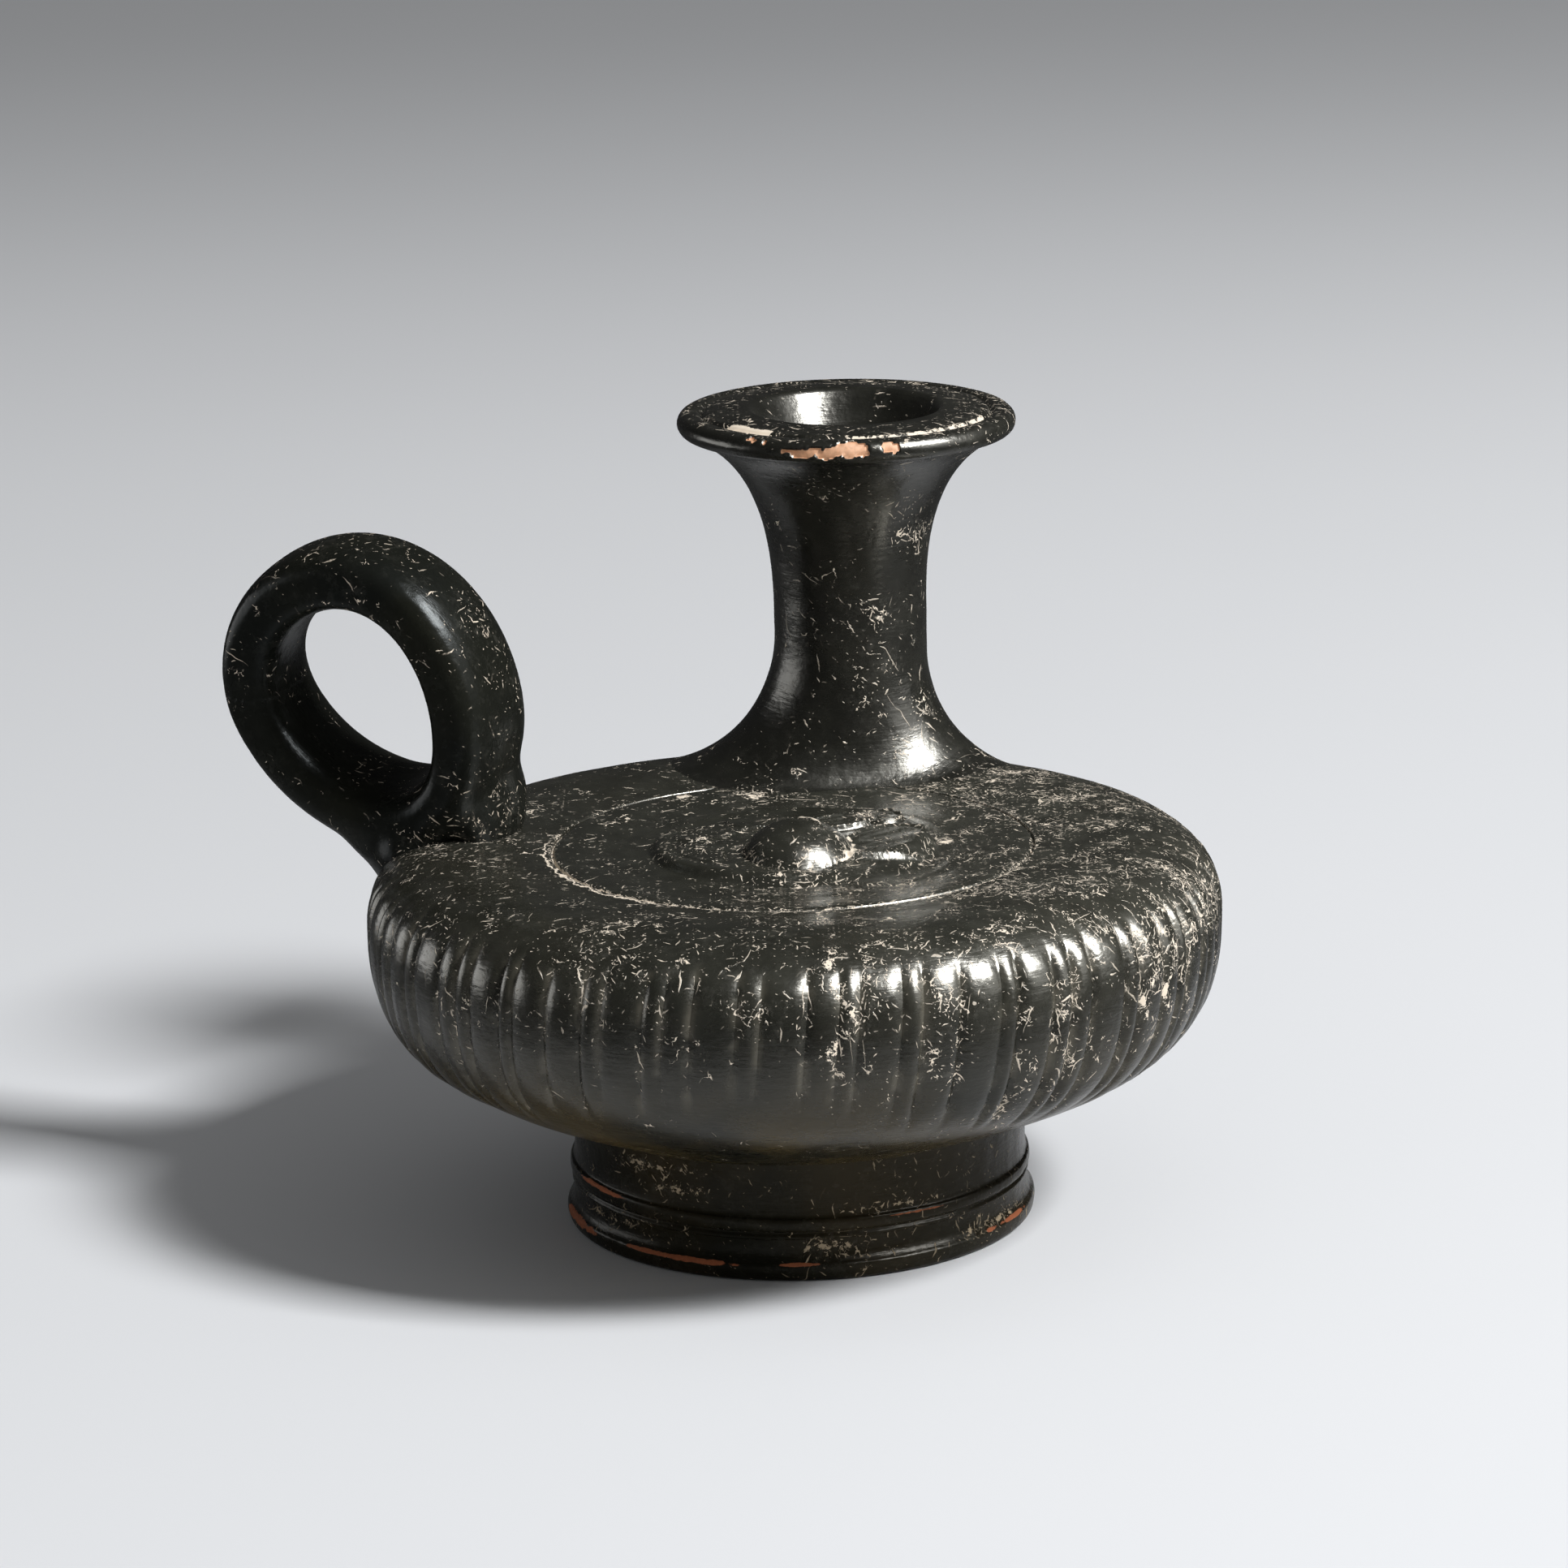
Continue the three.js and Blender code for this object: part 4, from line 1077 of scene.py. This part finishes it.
def stroke_group():
    """Short strokes scattered over a surface: one in each cell, turned at random in it.

    Vector is in millimetres, Cell is the cells' size, Length and Width are half sizes as
    shares of a cell, Share is how many cells hold a stroke, and Lay pulls strokes its way.
    """
    numbers = ("Cell", "Length", "Width", "Share", "Bend")
    tree, w, source, mask = new_group("strokes", ("Vector", "Lay"), numbers)
    place = in_cells(w, source)
    bent = w.vector("ADD", place, w.scaled(w.drift(place, 1.7, 2.0), source["Bend"]))
    cells = w.add("TexVoronoi", Vector=bent, Scale=1.0).outputs
    normal = w.add("NewGeometry").outputs["Normal"]
    flat = w.flattened(w.vector("SUBTRACT", bent, cells["Position"]), normal)
    random = w.scaled(w.vector("SUBTRACT", cells["Color"], (0.5, 0.5, 0.5)), 2.0)
    way = w.vector("NORMALIZE", w.flattened(w.vector("ADD", random, source["Lay"]), normal))
    along = w.vector("DOT_PRODUCT", flat, way)
    across = w.vector("LENGTH", w.vector("SUBTRACT", flat, w.scaled(way, along)))
    channels = w.add("SeparateColor", Color=cells["Color"]).outputs
    length = w.times(source["Length"], w.linear(channels[2], 0.9, 0.35))
    reach = w.math("DIVIDE", w.size(along), length)
    width = w.times(source["Width"], w.most(w.minus(1.0, w.times(reach, reach)), 0.0))
    inside = w.step(w.minus(width, across), 0.0, w.times(source["Width"], 0.5))
    held = w.step(w.minus(source["Share"], channels[0]), 0.0, 0.12)
    w.feed(mask, w.times(inside, held, w.linear(channels[1], 0.5, 0.5)))
    return tree


def vein_group():
    """Branching lines along the borders of bent cells, broken up by patches."""
    tree, w, source, mask = new_group("veins", ("Vector",), ("Cell", "Width", "Share"))
    place = in_cells(w, source)
    bent = w.vector("ADD", place, w.scaled(w.drift(place, 1.3, 4.0), 1.1))
    border = w.add("TexVoronoi", {"feature": "DISTANCE_TO_EDGE"}, Vector=bent, Scale=1.0).outputs["Distance"]
    thickness = w.times(source["Width"], w.step(w.noise(place, 0.35, 2.0), 0.35, 0.65, 0.2, 1.0))
    line = w.step(w.minus(thickness, border), 0.0, w.times(source["Width"], 0.4))
    spare = w.minus(w.noise(place, 1.9, 3.0), w.minus(1.0, source["Share"]))
    w.feed(mask, w.times(line, w.step(spare, 0.0, 0.03)))
    return tree


STROKES = stroke_group()
VEINS = vein_group()

CREAM = (0.66, 0.57, 0.46)
TAN = (0.34, 0.27, 0.18)
BARE_CLAY = (0.60, 0.30, 0.155)
RED_CLAY = (0.33, 0.105, 0.045)
DUST = (0.12, 0.12, 0.095)
SCUFF = (0.20, 0.19, 0.16)
DIRT = (0.16, 0.145, 0.11)
WARM = (1.0, 0.98, 0.90)
COOL = (0.90, 0.97, 1.0)
GLOSS_IOR = 1.65

# Strokes of crust: cell, half length, half width, share of the cells, pull round the axis, bend
STROKE_LAYERS = (
    (2.2, 1.1, 0.12, 0.85, 1.0, 0.3),
    (1.2, 0.60, 0.085, 0.75, 0.6, 0.35),
    (0.6, 0.20, 0.06, 0.70, 0.0, 0.3),
    (6.0, 2.8, 0.085, 0.85, 1.0, 0.25),
    (5.0, 0.60, 0.30, 0.30, 0.5, 1.1),
)

# Branching lines of crust: cell, width
VEIN_LAYERS = (
    (2.4, 0.10),
    (1.1, 0.06),
)


def brighter(colour, factor):
    return tuple(factor * channel for channel in colour)


def new_material(name):
    material = bpy.data.materials.new(name)
    material.use_nodes = True
    return material, Wiring(material.node_tree), material.node_tree.nodes["Principled BSDF"]


def object_place(w, centre):
    """Place on the object in millimetres from a centre given in the same units."""
    point = w.add("TexCoord").outputs["Object"]
    return w.vector("SUBTRACT", w.scaled(point, 1.0 / MM), tuple(centre))


def around(w, place):
    """Distance from the upright axis, direction round it, height, and angle from the front."""
    parts = w.add("SeparateXYZ", Vector=place).outputs
    radius = w.vector("LENGTH", w.combined(parts[0], parts[1]))
    towards = w.times(parts[1], -1.0)
    sideways = w.vector("NORMALIZE", w.combined(towards, parts[0]))
    return radius, sideways, parts[2], w.math("ARCTAN2", parts[0], towards)


def seam_crack(w, radius, angle, height, place):
    """Jagged white line in the body beside the seam of the medallion, at its left front."""
    jag = w.linear(w.noise(place, 2.6, 3.0, 0.7), 3.4, -1.7)
    away = w.size(w.minus(w.minus(radius, RECESS_RADIUS + 0.7), jag))
    line = w.step(w.minus(0.2, away), 0.0, 0.08)
    reach = w.step(w.size(w.plus(angle, 1.12)), 0.5, 0.62, 1.0, 0.0)
    return w.times(line, reach, w.step(height, SEAM_Z - 1.0, SEAM_Z - 0.5))


def turning_lines(w, radius, height, place, size):
    """Fine lines round the axis, wandering a little, as burnishing leaves them."""
    drift = w.times(w.noise(place, 12.0, 2.0), 9.0)
    return w.noise(w.combined(radius, height, drift), size, 3.0, 0.6)


def strap_lines(w, place, size):
    """Fine lines along the strap of the handle."""
    along = w.times(w.attribute("along"), 0.06)
    drift = w.times(w.noise(place, 10.0, 2.0), 6.0)
    return w.noise(w.combined(w.attribute("across"), along, drift), size, 3.0, 0.6)


def crust_amount(w, place, where, density):
    """How much crust lies at a place: in patches, and where the mesh says so."""
    patches = w.step(w.noise(place, 6.5, 5.0, 0.65), 0.42, 0.62)
    spread = w.times(w.linear(patches, 1.0, 0.25), density, where)
    return w.plus(spread, w.times(w.attribute("crust"), 0.6), w.times(w.attribute("groove"), 0.2))


def crust_lines(w, place, amount, pull):
    """Thin strokes, flakes and branching lines of crust."""
    layers = []
    for cell, length, width, share, turn, bend in STROKE_LAYERS:
        layers.append(w.add("Group", {"node_tree": STROKES}, Vector=place, Cell=cell, Length=length / cell,
                            Width=width / cell, Share=w.times(amount, share), Lay=w.scaled(pull, turn),
                            Bend=bend))
    for cell, width in VEIN_LAYERS:
        layers.append(w.add("Group", {"node_tree": VEINS}, Vector=place, Cell=cell, Width=width / cell,
                            Share=w.linear(amount, 0.22, 0.30)))
    return w.most(*[layer.outputs["Mask"] for layer in layers])


def slip_colour_with_painted_reflection(w, place, angle, below, dark, brown):
    """Black slip, browner in patches on the lower front: partly the slip's own tone, partly a painted warm
    reflection of the floor.
    """
    tone = w.step(w.noise(place, 21.0, 4.0), 0.36, 0.66)
    front = w.step(w.size(w.plus(angle, 0.3)), 1.3, 0.2, 0.35, 1.0)
    # Painted reflection: part of the brown on the lower front stands in for a warm reflection of the floor
    return w.mix(w.times(w.linear(w.times(below, front), 0.95, 0.05), tone), dark, brown)


def gloss_normal(w, place, burnish, broken, grain):
    """Normal over dents, facets, burnish, crust and grain, with their heights in millimetres."""
    height = w.times(w.noise(place, 3.5, 2.0), 0.11)
    facets = w.noise(place, 0.75, 2.0)
    for value, rise in ((facets, 0.035), (burnish, 0.04), (broken, 0.03), (grain, 0.006)):
        height = w.linear(value, rise, height)
    return w.add("Bump", Strength=1.0, Distance=MM, Height=height).outputs["Normal"]


def gloss_material(name, dark, brown, centre, density, lay, scratch, tint=WARM,
                   clay_colour=BARE_CLAY, crust_colour=CREAM, cracked=False, strap=False):
    """Black slip over clay, with strokes, flakes and branching lines of cream crust.

    Dark and brown are the slip's colours; the brown on the lower front is partly the slip's own tone and
    partly a painted warm reflection of the floor.
    Density is how much crust the piece carries, lay is how strongly the strokes run round the axis,
    scratch is the grain of its burnish in millimetres, and tint is the colour of its sheen.
    """
    material, w, shader = new_material(name)
    place = object_place(w, centre)
    radius, sideways, height, angle = around(w, place)
    to_right = w.step(w.vector("DOT_PRODUCT", place, (1.0, 0.0, 0.0)), -15.0, 30.0, 0.6, 1.2)
    to_top = w.step(height, BELLY_Z - 6, CROWN_Z - 3, 0.22, 1.0)
    below = w.step(height, BELLY_Z - 2, FOOT_HEIGHT + 4)
    amount = crust_amount(w, place, w.times(to_right, to_top), density)

    mask = crust_lines(w, place, amount, w.scaled(sideways, lay))
    if cracked:
        mask = w.most(mask, seam_crack(w, radius, angle, height, place))
    grain = w.noise(place, 0.35, 5.0, 0.7)
    blotch = w.linear(w.noise(place, 0.9, 5.0, 0.65), 2.2, -1.1)
    solid = w.step(w.plus(w.attribute("crust"), blotch), 0.95, 1.05)
    broken = w.most(w.times(mask, w.step(grain, 0.34, 0.46, 0.25, 1.0)), solid)

    dust = w.times(to_top, to_top, w.step(w.noise(place, 4.0, 4.0), 0.3, 0.7, 0.25, 0.5), to_right, density)
    haze = w.times(w.step(w.noise(place, 1.5, 6.0, 0.8), 0.48, 0.70), w.times(w.most(amount, 0.0), 0.35))
    dirt = w.times(w.attribute("groove"), w.step(w.noise(place, 4.0, 3.0), 0.42, 0.62, 0.0, 0.45))
    colour = slip_colour_with_painted_reflection(w, place, angle, below, dark, brown)
    for share, cover in ((dust, DUST), (haze, SCUFF), (dirt, DIRT)):
        colour = w.mix(share, colour, cover)
    cream = w.mix(w.noise(place, 2.3, 2.0), brighter(crust_colour, 1.1), brighter(crust_colour, 1.45))
    clay = w.mix(w.step(grain, 0.3, 0.7), clay_colour, brighter(clay_colour, 1.25))
    clay_mask = w.step(w.plus(w.attribute("bare"), w.times(grain, 0.3)), 0.6, 0.72)
    w.feed(shader.inputs["Base Color"], w.mix(clay_mask, w.mix(broken, colour, cream), clay))

    burnish = strap_lines(w, place, scratch) if strap else turning_lines(w, radius, height, place, scratch)
    gloss = w.plus(w.linear(w.noise(place, 6.0, 4.0), 0.18, 0.13), w.times(burnish, 0.08))
    w.feed(shader.inputs["Roughness"], w.linear(w.most(broken, clay_mask, haze), 0.45, gloss))
    w.feed(shader.inputs["Specular IOR Level"], w.linear(below, -0.44, 0.5))
    shader.inputs["Specular Tint"].default_value = (*tint, 1.0)
    shader.inputs["IOR"].default_value = GLOSS_IOR
    w.feed(shader.inputs["Normal"], gloss_normal(w, place, burnish, broken, grain))
    return material


def clay_material():
    """Bare fired clay of the pieces hidden between the slipped ones."""
    material, w, shader = new_material("bare_clay")
    place = object_place(w, AXIS / MM)
    grit = w.noise(place, 0.5, 4.0, 0.7)
    colour = w.mix(w.step(w.noise(place, 3.0, 5.0), 0.35, 0.65), (0.40, 0.185, 0.09), (0.56, 0.30, 0.165))
    w.feed(shader.inputs["Base Color"], w.mix(w.step(grit, 0.62, 0.7), colour, (0.68, 0.52, 0.38)))
    w.feed(shader.inputs["Roughness"], w.linear(grit, 0.2, 0.7))
    bump = w.add("Bump", Strength=0.6, Distance=0.15 * MM, Height=grit)
    w.feed(shader.inputs["Normal"], bump.outputs["Normal"])
    return material


def floor_material():
    """Pale seamless paper, with painted shade: dark in glossy rays past a distance from the axis, and darker
    far behind the flask.
    """
    material, w, shader = new_material("pale_floor")
    place = object_place(w, AXIS / MM)
    colour = w.mix(w.noise(place, 240.0, 2.0), (0.775, 0.79, 0.815), (0.80, 0.815, 0.84))
    glossy = w.add("LightPath").outputs["Is Glossy Ray"]
    # Painted shade: the floor's colour turns dark in glossy rays past a distance from the axis
    edge = w.step(around(w, place)[0], REFLECTION_SHADE_NEAR, REFLECTION_SHADE_FAR, 0.0, PAINTED_REFLECTION_SHADE)
    # Painted shade: the floor's colour darkens far behind the flask
    painted_back_shade = w.step(w.vector("DOT_PRODUCT", place, (0.0, 1.0, 0.0)), PAPER_NEAR, PAPER_FAR, 0.0, PAPER_SHADE)
    shade = w.most(w.times(edge, glossy), painted_back_shade)
    w.feed(shader.inputs["Base Color"], w.mix(shade, colour, (0.0, 0.0, 0.0)))
    shader.inputs["Roughness"].default_value = 0.9
    shader.inputs["Specular IOR Level"].default_value = 0.1
    return material


# Stage

def add_floor():
    half = FLOOR_SIZE / 2
    corners = [placed((x, y, 0.0)) for x, y in ((-half, -half), (half, -half), (half, half), (-half, half))]
    mesh = bpy.data.meshes.new("floor")
    mesh.from_pydata(corners, [], [(0, 1, 2, 3)])
    mesh.materials.append(floor_material())
    add_object("floor", mesh)


def add_camera():
    data = bpy.data.cameras.new("camera")
    data.lens = CAMERA_LENS
    data.sensor_width = CAMERA_SENSOR
    data.clip_end = 20.0
    camera = add_object("camera", data)
    tilt = Matrix.Rotation(radians(90 - CAMERA_PITCH), 4, "X")
    roll = Matrix.Rotation(radians(CAMERA_ROLL), 4, "Z")
    camera.matrix_world = Matrix.Translation(placed(CAMERA_PLACE)) @ tilt @ roll
    bpy.context.scene.camera = camera


def add_area(name, place, size, power):
    """A rectangle of light that faces the middle of the flask."""
    data = bpy.data.lights.new(name, "AREA")
    data.shape = "RECTANGLE"
    data.size = size[0] * MM
    data.size_y = size[1] * MM
    data.energy = power
    light = add_object(name, data)
    light.location = placed(place)
    light.rotation_euler = (placed(HEART) - placed(place)).to_track_quat("-Z", "Y").to_euler()
    return light


def add_lights():
    key_place = HEART + KEY_DIRECTION.normalized() * KEY_DISTANCE
    add_area("key_light", key_place, (KEY_SIZE, KEY_SIZE), KEY_POWER)
    for name, place, size, power in CARDS:
        add_area(name, place, size, power).visible_diffuse = False
    world = bpy.data.worlds.new("world")
    world.use_nodes = True
    w = Wiring(world.node_tree)
    glossy = w.add("LightPath").outputs["Is Glossy Ray"]
    level = w.linear(glossy, -ROOM_SHADE * WORLD_GREY, WORLD_GREY)
    w.feed(world.node_tree.nodes["Background"].inputs["Color"], level)
    bpy.context.scene.world = world


add_floor()
add_camera()
add_lights()
bpy.context.scene.view_settings.view_transform = "Standard"

axis_mm = AXIS / MM
neck_mm = axis_mm + Vector((NECK_X, NECK_Y, 0.0))
handle_mm = axis_mm + Vector(HANDLE_CENTRE)
body_gloss = gloss_material("body_gloss", (0.0070, 0.0074, 0.0052), (0.060, 0.042, 0.014), axis_mm,
                            0.56, 0.7, 0.5, cracked=True)
top_gloss = gloss_material("top_gloss", (0.009, 0.0094, 0.0068), (0.022, 0.020, 0.012), axis_mm,
                           0.54, 1.3, 0.45)
neck_gloss = gloss_material("neck_gloss", (0.0035, 0.0036, 0.0026), (0.008, 0.008, 0.005), neck_mm,
                            0.26, 0.3, 0.5)
handle_gloss = gloss_material("handle_gloss", (0.007, 0.008, 0.0068), (0.014, 0.014, 0.009), handle_mm,
                              1.0, 0.0, 0.6, tint=COOL, strap=True)
foot_gloss = gloss_material("foot_gloss", (0.010, 0.0095, 0.0060), (0.032, 0.024, 0.012), axis_mm,
                            0.2, 1.2, 0.4, clay_colour=RED_CLAY, crust_colour=TAN)
hidden_clay = clay_material()

PIECES = (
    (body_surface, body_gloss, ("body_shell",), "black_gloss"),
    (medallion_surface, top_gloss, ("medallion_disc",), "black_gloss"),
    (neck_surface, neck_gloss, ("neck", "neck_luting_coil"), "black_gloss"),
    (handle_surface, handle_gloss, ("ring_handle", "handle_luting_pad"), "black_gloss"),
    (foot_surface, foot_gloss, ("foot_ring",), "foot_gloss"),
)
for make, material, replaced, slot in PIECES:
    piece = make(material)
    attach(piece, "root")
    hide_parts(*replaced)
for name in ("foot_luting_coil", "medallion_bedding"):
    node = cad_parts[name]
    node.data.materials.clear()
    node.data.materials.append(hidden_clay)
